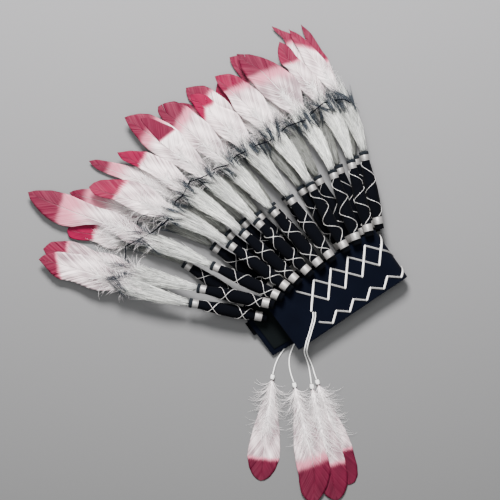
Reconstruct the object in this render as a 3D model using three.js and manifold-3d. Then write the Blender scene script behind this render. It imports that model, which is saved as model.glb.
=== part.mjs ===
// A feathered headdress that lies on its side, folded over at the front centre.
// X runs along the band towards the front fold, Y from the lower rim to the feathers, Z up.
// Lengths are in millimetres and angles in degrees.
import * as THREE from 'three';
import { mergeVertices } from 'three/addons/utils/BufferGeometryUtils.js';
import Module from 'manifold-3d';

const wasm = await Module();
wasm.setup();

// Clearances
const fitGap = 0.3;               // between two pieces that lie against each other
const edgeClearance = 1.7;        // from the band's upper edge to the lower cuffs

// Browband: one strip of felt, folded at the front centre, its front half on top
const bandHeight = 69;
const bandThickness = 2;
const frontLength = 162;          // from the fold to the end of the front half
const backLength = 192;           // from the fold to the end of the back half
const headGapAtRim = 19;          // between the two halves, at the lower rim
const headGapAtTop = 13;          // between the two halves, at the upper edge
const rimRestHeight = 3.2;        // the back half's lower rim above the ground
const frontDroop = 4;             // the front half's end sits this much lower than the fold
const backRise = 7;               // the back half's end sits this much higher than the fold
const foldFacets = 12;

// Lining: a thin inset on the inner face of the back half, inside a hem
const liningThickness = 1;
const hemWidth = 6;
const liningLength = 120;

// Tab under the end of the back half
const tabWidth = 18;
const tabLength = 16;
const tabThickness = 1.2;
const tabShowing = 4;
const tabPlace = 0.6;             // share of the band's height

// Silver ribbon trims
const ribbonWidth = 3;
const ribbonThickness = 0.6;
const zigzagStep = 24.5;          // along the band, from one corner to the next
const zigzagCorners = 5;          // on each half, counted from the fold
const diamondBottom = 28.8;
const diamondTop = 61;
const rimTrimBottom = 2.4;
const rimTrimTop = 15.5;

// Wrapped sleeves
const stubDiameter = 11;
const stubLength = 5.7;
const lowerCuffDiameter = 12;
const lowerCuffLength = 8.6;
const bellyDiameter = 15.5;
const bodyLength = 69.2;
const upperCuffDiameter = 10.5;
const upperCuffLength = 7;
const endRingDiameter = 11.5;
const endRingLength = 4;
const sleeveSides = 8;

// Plumes and feathers
const plumeLength = 79;
const plumeWidth = 21;
const plumeDepth = 12;
const plumeSides = 10;
const lockLength = 9;
const featherReach = 170;         // from a sleeve's end to the tip of an ordinary feather
const featherWidth = 42;
const featherThickness = 1;
const featherCamber = 1.2;
const featherRootOverlap = 22;    // how far a feather starts inside its plume
const shingleRoll = 8;            // each feather tips over its neighbour
const frontRingHeight = 27;       // of the front row's sleeve ends above the ground
const foldRingHeight = 22;        // of the sleeve end at the fold
const stackHeight = 24;           // of the pile of feather tips above the ground

// Drops: cords with a feather on the end
const cordDiameter = 1.5;
const cordSides = 8;
const knotDiameter = 5.4;
const knotLength = 6;
const dropFeatherLength = 130;
const dropFeatherWidth = 36;
const dropFeatherCamber = 0.5;

const radians = THREE.MathUtils.degToRad;
const up = new THREE.Vector3(0, 0, 1);

// Front row, from the fold to the end of the half. along is a share of the front length
// and drop a share of the band's height. lean is the sleeve's angle from the Y axis,
// turn is how far the feather's chord turns from it, and bend how far its end turns again.
// reach, width, tip and roll are shares of the feather's reach, its width, the stack's
// height and the roll with which the feathers lap.
const frontRow = [
  { name: 'a', along: -0.106, drop: -0.01, lean: 20.8, turn: -18.5, bend: -6, reach: 1.02, width: 0.9, tip: 0.5, roll: 1 },
  { name: 'b', along: -0.01, drop: 0, lean: 18.8, turn: -17, bend: -6, reach: 0.96, width: 0.85, tip: 0.56, roll: 1 },
  { name: 'c', along: 0.102, drop: 0, lean: 13.7, turn: -17.9, bend: -6, reach: 1.05, width: 1.1, tip: 0.78, roll: 1 },
  { name: 'd', along: 0.208, drop: 0, lean: 4, turn: -12.5, bend: -5, reach: 0.99, width: 1.05, tip: 0.68, roll: 1 },
  { name: 'e', along: 0.336, drop: 0, lean: -1.8, turn: -9.6, bend: -4, reach: 0.98, width: 1, tip: 0.8, roll: 1 },
  { name: 'f', along: 0.436, drop: 0, lean: -8.1, turn: -7.3, bend: -4, reach: 1.06, width: 1, tip: 0.7, roll: 1 },
  { name: 'g', along: 0.538, drop: 0, lean: -12.8, turn: -6.5, bend: -4, reach: 1.16, width: 1.05, tip: 0.72, roll: 1 },
  { name: 'h', along: 0.646, drop: 0, lean: -15.7, turn: -9.3, bend: -4, reach: 1.02, width: 1, tip: 0.62, roll: 1 },
  { name: 'i', along: 0.731, drop: 0.018, lean: -21, turn: -14.4, bend: -4, reach: 1.04, width: 1, tip: 0.95, roll: -0.5 },
  { name: 'j', along: 0.825, drop: 0.06, lean: -32.9, turn: -3, bend: 4, reach: 1.38, width: 1.15, tip: 0.5, roll: 0.3 },
  { name: 'k', along: 0.915, drop: 0.09, lean: -45.6, turn: 2.3, bend: -2, reach: 1.11, width: 1, tip: 0.5, roll: 1 },
  { name: 'l', along: 1.015, drop: 0.21, lean: -46.5, turn: 5, bend: -4, reach: 1.09, width: 1, tip: 0.62, roll: 1 },
];

// Back row, under the back half, with the same columns. along is a share of the back length.
const backRow = [
  { name: 'b', along: -0.062, drop: 0, lean: 16.3, turn: -5.7, bend: -3, reach: 1.01, width: 0.8, tip: 0.24, roll: 1 },
  { name: 'c', along: 0.023, drop: 0, lean: 12.3, turn: -4.7, bend: -3, reach: 1.09, width: 0.66, tip: 0.22, roll: 1 },
  { name: 'd', along: 0.109, drop: 0, lean: 4, turn: -7.7, bend: -4, reach: 1.03, width: 1, tip: 0.24, roll: 1 },
  { name: 'e', along: 0.194, drop: 0, lean: -1, turn: -4.4, bend: -2, reach: 0.93, width: 1, tip: 0.22, roll: 1 },
  { name: 'f', along: 0.28, drop: 0, lean: -4.4, turn: -4.9, bend: -2, reach: 1.02, width: 1, tip: 0.24, roll: 1 },
  { name: 'g', along: 0.365, drop: 0, lean: -6.8, turn: -4, bend: -2, reach: 0.96, width: 0.86, tip: 0.24, roll: 1 },
  { name: 'h', along: 0.451, drop: 0, lean: -8.8, turn: -2.9, bend: -2, reach: 0.93, width: 0.9, tip: 0.24, roll: 1 },
  { name: 'i', along: 0.536, drop: -0.04, lean: -11.5, turn: -2.6, bend: -2, reach: 0.96, width: 0.95, tip: 0.24, roll: 1 },
  { name: 'j', along: 0.622, drop: -0.02, lean: -16.1, turn: -14, bend: -5, reach: 1.08, width: 1, tip: 0.24, roll: 1 },
  { name: 'k', along: 0.696, drop: 0, lean: -22.7, turn: -14.5, bend: -5, reach: 1.06, width: 0.95, tip: 0.22, roll: 1 },
  { name: 'l', along: 0.895, drop: 0, lean: -24.1, turn: -17.7, bend: -6, reach: 0.84, width: 0.95, tip: 0.24, roll: 1 },
];

// A plume's sections: along is a share of its length, width and depth of its full sizes
const plumeSections = [
  { along: 0, width: 0.42, depth: 0.62 },
  { along: 0.16, width: 0.66, depth: 0.85 },
  { along: 0.5, width: 0.95, depth: 1 },
  { along: 0.86, width: 0.98, depth: 0.9 },
];

// A feather's outline: along is a share of its length and width of its full width
const featherSections = [
  { along: 0, width: 0.1 },
  { along: 0.3, width: 0.66 },
  { along: 0.5, width: 0.95 },
  { along: 0.7, width: 1 },
  { along: 0.86, width: 0.78 },
  { along: 0.95, width: 0.42 },
  { along: 1, width: 0.1 },
];

// The drops' cords, each from the band to its knot: x, y and z of points along it
const cordRoutes = {
  drop_cord_1: [
    [-106.9, 25.6, 29.6], [-110, 20.6, 29], [-113.9, 16.2, 28.7], [-118.3, 12.3, 28.5],
    [-122.7, 8.3, 28.3], [-127.1, 4.4, 28.2], [-131.7, 0.7, 28], [-135.9, -3.4, 27.9],
    [-139.5, -7.1, 25.1], [-141.3, -10, 20.3], [-142.4, -12.9, 15.3], [-143.1, -16.2, 10.4],
    [-144, -20.3, 6.3], [-145.3, -25.2, 3.3], [-147.2, -30.6, 1.9], [-149.5, -36, 1.6],
    [-151.9, -41.4, 2.2], [-154.7, -47.2, 2.7],
  ],
  drop_cord_2: [
    [-104.6, 24, 29.5], [-107.6, 19.3, 29], [-111.3, 15.1, 28.6], [-115.6, 11.3, 28.5],
    [-119.8, 7.6, 28.3], [-124, 3.9, 28.1], [-128.3, 0.2, 28], [-132.5, -3.6, 27.7],
    [-135.9, -7.3, 25.6], [-138.2, -10.4, 21.5], [-139.4, -13.2, 16.7], [-140.3, -16.4, 12.2],
    [-140.8, -19.9, 7.8], [-141.3, -24.2, 4.2], [-142.3, -29.3, 2], [-143.7, -34.7, 1.4],
    [-145.3, -40.1, 2], [-146.7, -46.1, 2.7],
  ],
  drop_cord_3: [
    [-111.2, 27.6, 5.9], [-116.5, 24.5, 5.3], [-121.9, 21.5, 4.9], [-127.4, 18.7, 4.4],
    [-132.9, 16, 3.9], [-138.5, 13.5, 3.4], [-144.2, 11.1, 2.9], [-149.9, 9, 2.3], [-155.7, 7, 1.9],
    [-161.6, 5, 1.5], [-167.2, 2.6, 1.3], [-172.7, -0.2, 1.2], [-177.9, -3.7, 1.3], [-182.5, -7.6, 1.8],
    [-187.6, -12.6, 2.7],
  ],
  drop_cord_4: [
    [-108.4, 24.6, 5.6], [-113.8, 21, 5], [-119.3, 17.7, 4.5], [-124.9, 14.6, 3.9], [-130.7, 11.7, 3.3],
    [-136.5, 8.9, 2.8], [-142.3, 6, 2.3], [-148, 3.1, 1.8], [-153.4, -0.5, 1.5], [-158.3, -4.7, 1.2],
    [-162.4, -9.6, 1.2], [-165.7, -15.2, 1.2], [-168.2, -21.2, 1.4], [-170.1, -27.4, 1.8],
    [-171.7, -34.4, 2.7],
  ],
};

// The drops' feathers: x and y of the knot's centre, heading from the -Y axis towards -X,
// shares of the drop feather's length and width, and the layer of the pile that it lies in
const dropFeathers = [
  { name: 'drop_feather_1', x: -155.9, y: -50.4, heading: 20, reach: 1.08, width: 1.1, layer: 1 },
  { name: 'drop_feather_2', x: -147.4, y: -49.4, heading: 14.6, reach: 1, width: 0.9, layer: 0 },
  { name: 'drop_feather_3', x: -189.8, y: -15.2, heading: 39, reach: 0.97, width: 1, layer: 0 },
  { name: 'drop_feather_4', x: -172.8, y: -37.6, heading: 19.4, reach: 1.1, width: 1.1, layer: 2 },
];

const navyFelt = new THREE.MeshStandardMaterial({ color: 0x0e1524, roughness: 0.95, metalness: 0 });
const liningCloth = new THREE.MeshStandardMaterial({ color: 0x1a2222, roughness: 0.95, metalness: 0 });
const silverRibbon = new THREE.MeshStandardMaterial({ color: 0xbdb8b2, roughness: 0.4, metalness: 0.7 });
const tabCloth = new THREE.MeshStandardMaterial({ color: 0x0a0a0c, roughness: 0.9, metalness: 0 });
const whiteFeather = new THREE.MeshStandardMaterial({ color: 0xe6dedb, roughness: 0.8, metalness: 0 });
const whiteCord = new THREE.MeshStandardMaterial({ color: 0xe2e0dc, roughness: 0.8, metalness: 0 });

// Geometry from points and triangles, turned so that its faces point outwards
function bodyGeometry(points, triangles) {
  let volume = 0;
  for (const [a, b, c] of triangles) {
    volume += points[a].dot(points[b].clone().cross(points[c]));
  }
  const faces = volume > 0 ? triangles : triangles.map(([a, b, c]) => [a, c, b]);
  const geometry = new THREE.BufferGeometry().setFromPoints(points);
  geometry.setIndex(faces.flat());
  return geometry;
}

// A closed sheet over a grid of stations and columns. pointAt takes a station, a column and
// the side, 1 or -1.
function sheetGeometry(stationCount, columnCount, pointAt) {
  const points = [];
  for (const side of [1, -1]) {
    for (let station = 0; station < stationCount; station += 1) {
      for (let column = 0; column < columnCount; column += 1) {
        points.push(pointAt(station, column, side));
      }
    }
  }
  const index = (station, column, side) => (
    (side > 0 ? 0 : stationCount * columnCount) + station * columnCount + column
  );
  const triangles = [];
  const quad = (a, b, c, d) => triangles.push([a, b, c], [a, c, d]);
  for (let s = 0; s < stationCount - 1; s += 1) {
    for (let c = 0; c < columnCount - 1; c += 1) {
      quad(index(s, c, 1), index(s, c + 1, 1), index(s + 1, c + 1, 1), index(s + 1, c, 1));
      quad(index(s, c, -1), index(s + 1, c, -1), index(s + 1, c + 1, -1), index(s, c + 1, -1));
    }
    const last = columnCount - 1;
    quad(index(s, 0, 1), index(s + 1, 0, 1), index(s + 1, 0, -1), index(s, 0, -1));
    quad(index(s, last, 1), index(s, last, -1), index(s + 1, last, -1), index(s + 1, last, 1));
  }
  for (let c = 0; c < columnCount - 1; c += 1) {
    const end = stationCount - 1;
    quad(index(0, c, 1), index(0, c, -1), index(0, c + 1, -1), index(0, c + 1, 1));
    quad(index(end, c, 1), index(end, c + 1, 1), index(end, c + 1, -1), index(end, c, -1));
  }
  return bodyGeometry(points, triangles);
}

// A closed body through rings of points, with a fan over each end
function ringsGeometry(rings, startPoint, endPoint) {
  const sides = rings[0].length;
  const points = [...rings.flat(), startPoint, endPoint];
  const start = points.length - 2;
  const end = points.length - 1;
  const triangles = [];
  for (let side = 0; side < sides; side += 1) {
    const next = (side + 1) % sides;
    for (let ring = 0; ring < rings.length - 1; ring += 1) {
      const low = ring * sides;
      const high = low + sides;
      triangles.push([low + side, low + next, high + next], [low + side, high + next, high + side]);
    }
    const last = (rings.length - 1) * sides;
    triangles.push([start, next, side], [end, last + side, last + next]);
  }
  return bodyGeometry(points, triangles);
}

function solidOf(geometry) {
  const bare = geometry.clone();
  bare.deleteAttribute('normal');
  bare.deleteAttribute('uv');
  const merged = mergeVertices(bare, 1e-4);
  return new wasm.Manifold(new wasm.Mesh({
    numProp: 3,
    vertProperties: new Float32Array(merged.attributes.position.array),
    triVerts: new Uint32Array(merged.index.array),
  }));
}

function joined(...geometries) {
  const whole = geometries.map(solidOf).reduce((sum, solid) => sum.add(solid));
  const mesh = whole.getMesh();
  const geometry = new THREE.BufferGeometry();
  geometry.setAttribute('position', new THREE.BufferAttribute(mesh.vertProperties, 3));
  geometry.setIndex(new THREE.BufferAttribute(mesh.triVerts, 1));
  return geometry;
}

// The lower face of the back half, at a share of the band's height. It rests on the back
// row's stubs near its upper edge.
const backRowAxis = bellyDiameter / 2;
const stubSeat = backRowAxis + stubDiameter / 2 + fitGap;
const stubOverlap = stubLength - edgeClearance;
const seatShare = 1 - stubOverlap / bandHeight;

function backFaceHeight(share) {
  return rimRestHeight + (stubSeat - rimRestHeight) * (share / seatShare);
}

function headGap(share) {
  return headGapAtRim + (headGapAtTop - headGapAtRim) * share;
}

function foldRadius(share) {
  return (headGap(share) + bandThickness) / 2;
}

// A point of the band. along is measured round the felt from the fold, positive on the
// front half, share is the share of the height, and depth is outwards from mid-thickness.
function bandPoint(along, share, depth) {
  const radius = foldRadius(share);
  const middle = backFaceHeight(share) + bandThickness / 2 + radius;
  const quarter = (Math.PI / 2) * radius;
  const flat = Math.max(Math.abs(along) - quarter, 0);
  const half = along > 0 ? 1 : -1;
  const sway = along > 0 ? -frontDroop * flat / frontLength : backRise * flat / backLength;
  const y = share * bandHeight + sway;
  if (flat > 0) {
    return new THREE.Vector3(-flat, y, middle + half * (radius + depth));
  }
  const angle = along / radius;
  const reach = radius + depth;
  return new THREE.Vector3(reach * Math.cos(angle), y, middle + reach * Math.sin(angle));
}

// Places round the felt between two ends, close together at the fold
function bandStations(from, to) {
  const bend = (Math.PI / 2) * foldRadius(0);
  const places = new Set([from, to]);
  for (let step = 0; step <= foldFacets; step += 1) {
    const place = bend * (2 * step / foldFacets - 1);
    if (place > from && place < to) {
      places.add(place);
    }
  }
  return [...places].sort((a, b) => a - b);
}

function browband() {
  const stations = bandStations(-backLength, frontLength);
  const shares = [0, 0.5, 1];
  return sheetGeometry(stations.length, shares.length, (station, column, side) => (
    bandPoint(stations[station], shares[column], side * bandThickness / 2)
  ));
}

function lining() {
  const outer = -bandThickness / 2 - fitGap;
  const stations = [-(backLength - hemWidth), -(backLength - liningLength)];
  const shares = [hemWidth / bandHeight, 1 - hemWidth / bandHeight];
  return sheetGeometry(2, 2, (station, column, side) => (
    bandPoint(stations[station], shares[column], side > 0 ? outer : outer - liningThickness)
  ));
}

function closureTab() {
  const inner = bandThickness / 2 + fitGap;
  const stations = [-(backLength + tabShowing), -(backLength + tabShowing - tabLength)];
  const halfShare = tabWidth / 2 / bandHeight;
  const shares = [tabPlace - halfShare, tabPlace + halfShare];
  return sheetGeometry(2, 2, (station, column, side) => (
    bandPoint(stations[station], shares[column], side > 0 ? inner + tabThickness : inner)
  ));
}

// A zigzag of ribbon on the band's outer face. corners holds the place of each corner,
// along the felt and up the band.
function zigzag(corners) {
  const offsets = corners.map((corner, place) => {
    const before = corners[Math.max(place - 1, 0)];
    const after = corners[Math.min(place + 1, corners.length - 1)];
    const legIn = corner.clone().sub(before).normalize();
    const legOut = after.clone().sub(corner).normalize();
    const across = legIn.lengthSq() > 0 ? legIn : legOut;
    const normal = new THREE.Vector2(-across.y, across.x);
    const along = legIn.clone().add(legOut).normalize();
    const mitre = new THREE.Vector2(-along.y, along.x);
    return mitre.multiplyScalar(ribbonWidth / 2 / mitre.dot(normal));
  });
  const rows = [];
  const longest = (Math.PI / foldFacets) * foldRadius(0);
  const bend = (Math.PI / 2) * foldRadius(0) + ribbonWidth;
  for (let leg = 0; leg < corners.length - 1; leg += 1) {
    const [from, to] = [corners[leg], corners[leg + 1]];
    const nearFold = Math.min(Math.abs(from.x), Math.abs(to.x)) < bend;
    const steps = nearFold ? Math.ceil(Math.abs(to.x - from.x) / longest) : 1;
    for (let step = leg === 0 ? 0 : 1; step <= steps; step += 1) {
      const share = step / steps;
      rows.push({
        centre: from.clone().lerp(to, share),
        offset: offsets[leg].clone().lerp(offsets[leg + 1], share),
      });
    }
  }
  const lift = bandThickness / 2 + fitGap;
  return sheetGeometry(rows.length, 2, (station, column, side) => {
    const { centre, offset } = rows[station];
    const place = centre.clone().addScaledVector(offset, column === 0 ? 1 : -1);
    return bandPoint(place.x, place.y / bandHeight, side > 0 ? lift + ribbonThickness : lift);
  });
}

function zigzagCornersAt(step, count, lowFirst, bottom, top) {
  const corners = [];
  for (let place = -count; place <= count; place += 1) {
    const low = (Math.abs(place + count) % 2 === 0) === lowFirst;
    corners.push(new THREE.Vector2(place * step, low ? bottom : top));
  }
  return corners;
}

function diamondTrim() {
  const [bottom, top] = [diamondBottom + ribbonWidth / 2, diamondTop - ribbonWidth / 2];
  const first = zigzagCornersAt(zigzagStep, zigzagCorners, true, bottom, top);
  const second = zigzagCornersAt(zigzagStep, zigzagCorners, false, bottom, top);
  return joined(zigzag(first), zigzag(second));
}

function rimTrim() {
  return zigzag(zigzagCornersAt(zigzagStep / 2, 2 * zigzagCorners, false, rimTrimBottom, rimTrimTop));
}

// The sleeve's outline, from the stub to the end ring, with y from the lower cuff's centre
const cuffTop = lowerCuffLength / 2;
const bodyTop = cuffTop + bodyLength;
const upperCuffTop = bodyTop + upperCuffLength;
const sleeveTop = upperCuffTop + endRingLength;
const stubEnd = -cuffTop - stubLength;

function sleeveProfile() {
  const outline = [
    [0, stubEnd],
    [stubDiameter / 2, stubEnd],
    [stubDiameter / 2, -cuffTop],
    [lowerCuffDiameter / 2, -cuffTop],
    [lowerCuffDiameter / 2, cuffTop],
    [bellyDiameter / 2, cuffTop + 0.4 * bodyLength],
    [0.95 * bellyDiameter / 2, cuffTop + 0.62 * bodyLength],
    [upperCuffDiameter / 2, bodyTop],
    [upperCuffDiameter / 2, upperCuffTop],
    [endRingDiameter / 2, upperCuffTop],
    [endRingDiameter / 2, sleeveTop],
    [0, sleeveTop],
  ];
  return outline.map(([radius, y]) => new THREE.Vector2(radius, y));
}

function sleeveRadius(y) {
  const outline = sleeveProfile().slice(1, -1);
  for (let place = 0; place < outline.length - 1; place += 1) {
    const [from, to] = [outline[place], outline[place + 1]];
    if (y >= from.y && y <= to.y && to.y > from.y) {
      return THREE.MathUtils.lerp(from.x, to.x, (y - from.y) / (to.y - from.y));
    }
  }
  return 0;
}

// The surface that the front row sits on at a place: the front half, or past its end the
// lining of the back half. Below the ground where there is none.
const noSurface = -1000;

function seatSurface(x, y) {
  const flat = Math.max(-x, 0);
  const frontShare = (y + frontDroop * flat / frontLength) / bandHeight;
  if (frontShare >= 0 && frontShare <= 1) {
    const radius = foldRadius(frontShare);
    const outer = radius + bandThickness / 2;
    const middle = backFaceHeight(frontShare) + bandThickness / 2 + radius;
    if (x <= 0 && flat <= frontLength - (Math.PI / 2) * radius) {
      return middle + outer;
    }
    if (x > 0 && x < outer) {
      return middle + Math.sqrt(outer * outer - x * x);
    }
  }
  const backShare = (y - backRise * flat / backLength) / bandHeight;
  const fromEnd = backLength - (Math.PI / 2) * foldRadius(backShare) - flat;
  if (x < 0 && backShare >= 0 && backShare <= 1 && fromEnd > 0) {
    const isLined = Math.abs(backShare - 0.5) < 0.5 - hemWidth / bandHeight
      && fromEnd > hemWidth && fromEnd < liningLength;
    return backFaceHeight(backShare) + bandThickness + (isLined ? fitGap + liningThickness : 0);
  }
  return noSurface;
}

// The height of a sleeve's axis at its lower cuff, where it just clears what it sits on
const seatStep = 0.4;
const seatOffsets = [-1, -0.9, -0.6, -0.3, 0, 0.3, 0.6, 0.9, 1];
const tiltAllowance = 1.05;       // a tilted cylinder reaches this much deeper than its radius

function seatHeight(base, heading, ringHeight) {
  let height = 0;
  const side = new THREE.Vector2(heading.y, -heading.x);
  for (let y = stubEnd; y < bodyTop; y += seatStep) {
    const radius = sleeveRadius(y);
    for (const offset of seatOffsets) {
      const place = base.clone().addScaledVector(heading, y).addScaledVector(side, offset * radius);
      const bottom = tiltAllowance * radius * Math.sqrt(1 - offset * offset);
      const needed = seatSurface(place.x, place.y) + bottom + fitGap;
      const share = y / sleeveTop;
      height = Math.max(height, (needed - ringHeight * share) / (1 - share));
    }
  }
  return height;
}

// Where a spike's sleeve starts, at its lower cuff, and its direction. A spike past the fold
// sits against the fold's outer side, above its middle in the front row and below it in the
// back row.
function spikeAxis(spike, isFront) {
  const lean = radians(spike.lean);
  const heading = new THREE.Vector2(Math.sin(lean), Math.cos(lean));
  const x = -spike.along * (isFront ? frontLength : backLength);
  const flat = Math.max(-x, 0);
  const sway = isFront ? -frontDroop * flat / frontLength : backRise * flat / backLength;
  const edge = bandHeight + edgeClearance + cuffTop - spike.drop * bandHeight + sway;
  const foldSide = foldRadius(seatShare) + bandThickness / 2;
  let ringHeight = isFront ? frontRingHeight : backRowAxis;
  let height = backRowAxis;
  if (x > foldSide) {
    const distance = foldSide + fitGap + (stubDiameter / 2) * Math.cos(lean);
    const aside = Math.min(x + stubEnd * Math.sin(lean), distance);
    const rise = Math.sqrt(distance * distance - aside * aside);
    ringHeight = isFront ? foldRingHeight : backRowAxis;
    height = backFaceHeight(seatShare) + foldSide + (isFront ? rise : -rise);
  } else if (isFront) {
    height = seatHeight(new THREE.Vector2(x, edge), heading, ringHeight);
  }
  const start = new THREE.Vector3(x, edge, height);
  const slope = Math.asin((ringHeight - height) / sleeveTop);
  const direction = new THREE.Vector3(heading.x, heading.y, 0).multiplyScalar(Math.cos(slope));
  direction.z = Math.sin(slope);
  return { start, direction };
}

// The curve that a plume and its feather follow, from just past the sleeve's end
function featherCurve(spike, axis) {
  const root = axis.start.clone().addScaledVector(axis.direction, sleeveTop + fitGap);
  const chord = radians(spike.lean + spike.turn);
  const end = radians(spike.lean + spike.turn + spike.bend);
  const length = spike.reach * featherReach;
  const tip = root.clone();
  tip.x += length * Math.sin(chord);
  tip.y += length * Math.cos(chord);
  tip.z = spike.tip * stackHeight;
  const nearRoot = root.clone().addScaledVector(axis.direction, length / 3);
  const nearTip = tip.clone();
  nearTip.x -= (length / 3) * Math.sin(end);
  nearTip.y -= (length / 3) * Math.cos(end);
  nearTip.z += (nearRoot.z - tip.z) * 0.25;
  return { curve: new THREE.CubicBezierCurve3(root, nearRoot, nearTip, tip), length };
}

// The curve's point and its directions along, to the right and upwards, at a share of it
function curveFrame(curve, share, roll) {
  const place = Math.min(Math.max(share, 0), 1);
  const point = curve.getPointAt(place);
  const along = curve.getTangentAt(place);
  const level = along.clone().cross(up).normalize();
  const rise = level.clone().cross(along);
  const angle = radians(roll);
  const right = level.clone().multiplyScalar(Math.cos(angle)).addScaledVector(rise, Math.sin(angle));
  const over = rise.clone().multiplyScalar(Math.cos(angle)).addScaledVector(level, -Math.sin(angle));
  return { point, along, right, over };
}

// The plume: a soft body that ends in pointed locks
function plume(curve, length) {
  const ringAt = (share, width, depth, ahead, odd) => {
    const { point, along, right, over } = curveFrame(curve, share * plumeLength / length, 0);
    return Array.from({ length: plumeSides }, (_, side) => {
      const angle = 2 * Math.PI * side / plumeSides;
      const isLock = side % 2 === 1;
      const scale = isLock ? 1 : odd;
      return point.clone()
        .addScaledVector(right, scale * width * plumeWidth / 2 * Math.cos(angle))
        .addScaledVector(over, scale * depth * plumeDepth / 2 * Math.sin(angle))
        .addScaledVector(along, isLock ? ahead : 0);
    });
  };
  const rings = plumeSections.map(({ along, width, depth }) => ringAt(along, width, depth, 0, 0.9));
  rings.push(ringAt(1, 0.94, 0.7, lockLength, 0.5));
  const start = curveFrame(curve, 0, 0).point;
  const end = curveFrame(curve, plumeLength / length, 0).point;
  return ringsGeometry(rings, start, end);
}

// A feather's vane over part of a curve, thin at its edges and cambered across
function vane(curve, from, width, roll, camber) {
  const columns = [-1, 0, 1];
  return sheetGeometry(featherSections.length, columns.length, (station, column, side) => {
    const section = featherSections[station];
    const share = from + (1 - from) * section.along;
    const { point, right, over } = curveFrame(curve, share, roll);
    const across = columns[column] * section.width;
    const thickness = featherThickness * (1 - 0.5 * Math.abs(columns[column]));
    return point
      .addScaledVector(right, across * width / 2)
      .addScaledVector(over, side * thickness / 2 - camber * across * across);
  });
}

function plumeFeather(spike, axis) {
  const { curve, length } = featherCurve(spike, axis);
  const from = (plumeLength - featherRootOverlap) / length;
  const width = spike.width * featherWidth;
  const roll = spike.roll * shingleRoll;
  return joined(plume(curve, length), vane(curve, from, width, roll, featherCamber));
}

// A tube along a cord's route, which runs straight at both ends
function cordTube(route) {
  const curve = new THREE.CatmullRomCurve3(route.map((point) => new THREE.Vector3(...point)));
  const steps = Math.round(curve.getLength() / (4 * cordDiameter));
  const section = new THREE.Shape();
  for (let side = 0; side < cordSides; side += 1) {
    const angle = 2 * Math.PI * side / cordSides;
    const [x, y] = [cordDiameter / 2 * Math.cos(angle), cordDiameter / 2 * Math.sin(angle)];
    if (side === 0) {
      section.moveTo(x, y);
    } else {
      section.lineTo(x, y);
    }
  }
  return new THREE.ExtrudeGeometry(section, { steps, extrudePath: curve, bevelEnabled: false });
}

// A drop's feather: a wrapped knot, and the vane that grows out of it and lies level
function dropFeather(drop) {
  const heading = radians(drop.heading);
  const knotRadius = knotDiameter / 2;
  const layerHeight = featherThickness + dropFeatherCamber + fitGap;
  const height = dropFeatherCamber + featherThickness / 2 + drop.layer * layerHeight;
  const length = drop.reach * dropFeatherLength;
  const root = new THREE.Vector3(drop.x, drop.y, height);
  const tip = root.clone();
  tip.x -= length * Math.sin(heading);
  tip.y -= length * Math.cos(heading);
  const half = knotLength / 2;
  const outline = [
    [0, -half], [0.7 * knotRadius, -half], [knotRadius, -0.5 * half],
    [knotRadius, 0.5 * half], [0.6 * knotRadius, half], [0, half],
  ];
  const knot = new THREE.LatheGeometry(outline.map(([r, y]) => new THREE.Vector2(r, y)), cordSides);
  knot.rotateZ(Math.PI - heading);
  knot.translate(drop.x, drop.y, knotRadius);
  const line = new THREE.LineCurve3(root, tip);
  return joined(knot, vane(line, 0, drop.width * dropFeatherWidth, 0, dropFeatherCamber));
}

const group = new THREE.Group();
const cordNodes = [];

function addPiece(name, geometry, material) {
  const mesh = new THREE.Mesh(geometry, material);
  mesh.name = name;
  group.add(mesh);
  return mesh;
}

function addRow(row, isFront, prefix) {
  for (const spike of row) {
    const axis = spikeAxis(spike, isFront);
    const shape = new THREE.LatheGeometry(sleeveProfile(), sleeveSides);
    const sleeve = addPiece(`${prefix}sleeve_${spike.name}`, shape, navyFelt);
    sleeve.position.copy(axis.start);
    sleeve.quaternion.setFromUnitVectors(new THREE.Vector3(0, 1, 0), axis.direction);
    addPiece(`${prefix}plume_feather_${spike.name}`, plumeFeather(spike, axis), whiteFeather);
  }
}

addPiece('browband', browband(), navyFelt);
addPiece('lining', lining(), liningCloth);
addPiece('closure_tab', closureTab(), tabCloth);
addPiece('diamond_trim', diamondTrim(), silverRibbon);
addPiece('rim_trim', rimTrim(), silverRibbon);
addRow(frontRow, true, '');
addRow(backRow, false, 'back_');
const body = new THREE.Box3().setFromObject(group);
for (const [name, route] of Object.entries(cordRoutes)) {
  cordNodes.push(addPiece(name, cordTube(route), whiteCord));
}
for (const drop of dropFeathers) {
  cordNodes.push(addPiece(drop.name, dropFeather(drop), whiteFeather));
}

// The origin is under the middle of the headdress, on the ground, without its drops
group.position.set(-(body.min.x + body.max.x) / 2, -(body.min.y + body.max.y) / 2, -body.min.z);

export default group;
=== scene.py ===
# %% [markdown]
# # A feathered headdress, laid flat
# The real object is a costume headdress: a felt browband, folded over at the front, with a fan of
# wrapped spikes. Each spike ends in a fur plume and a white goose feather with a dyed tip. The CAD
# model gives every place and size, so this lesson starts from it and dresses each part in turn.

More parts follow.
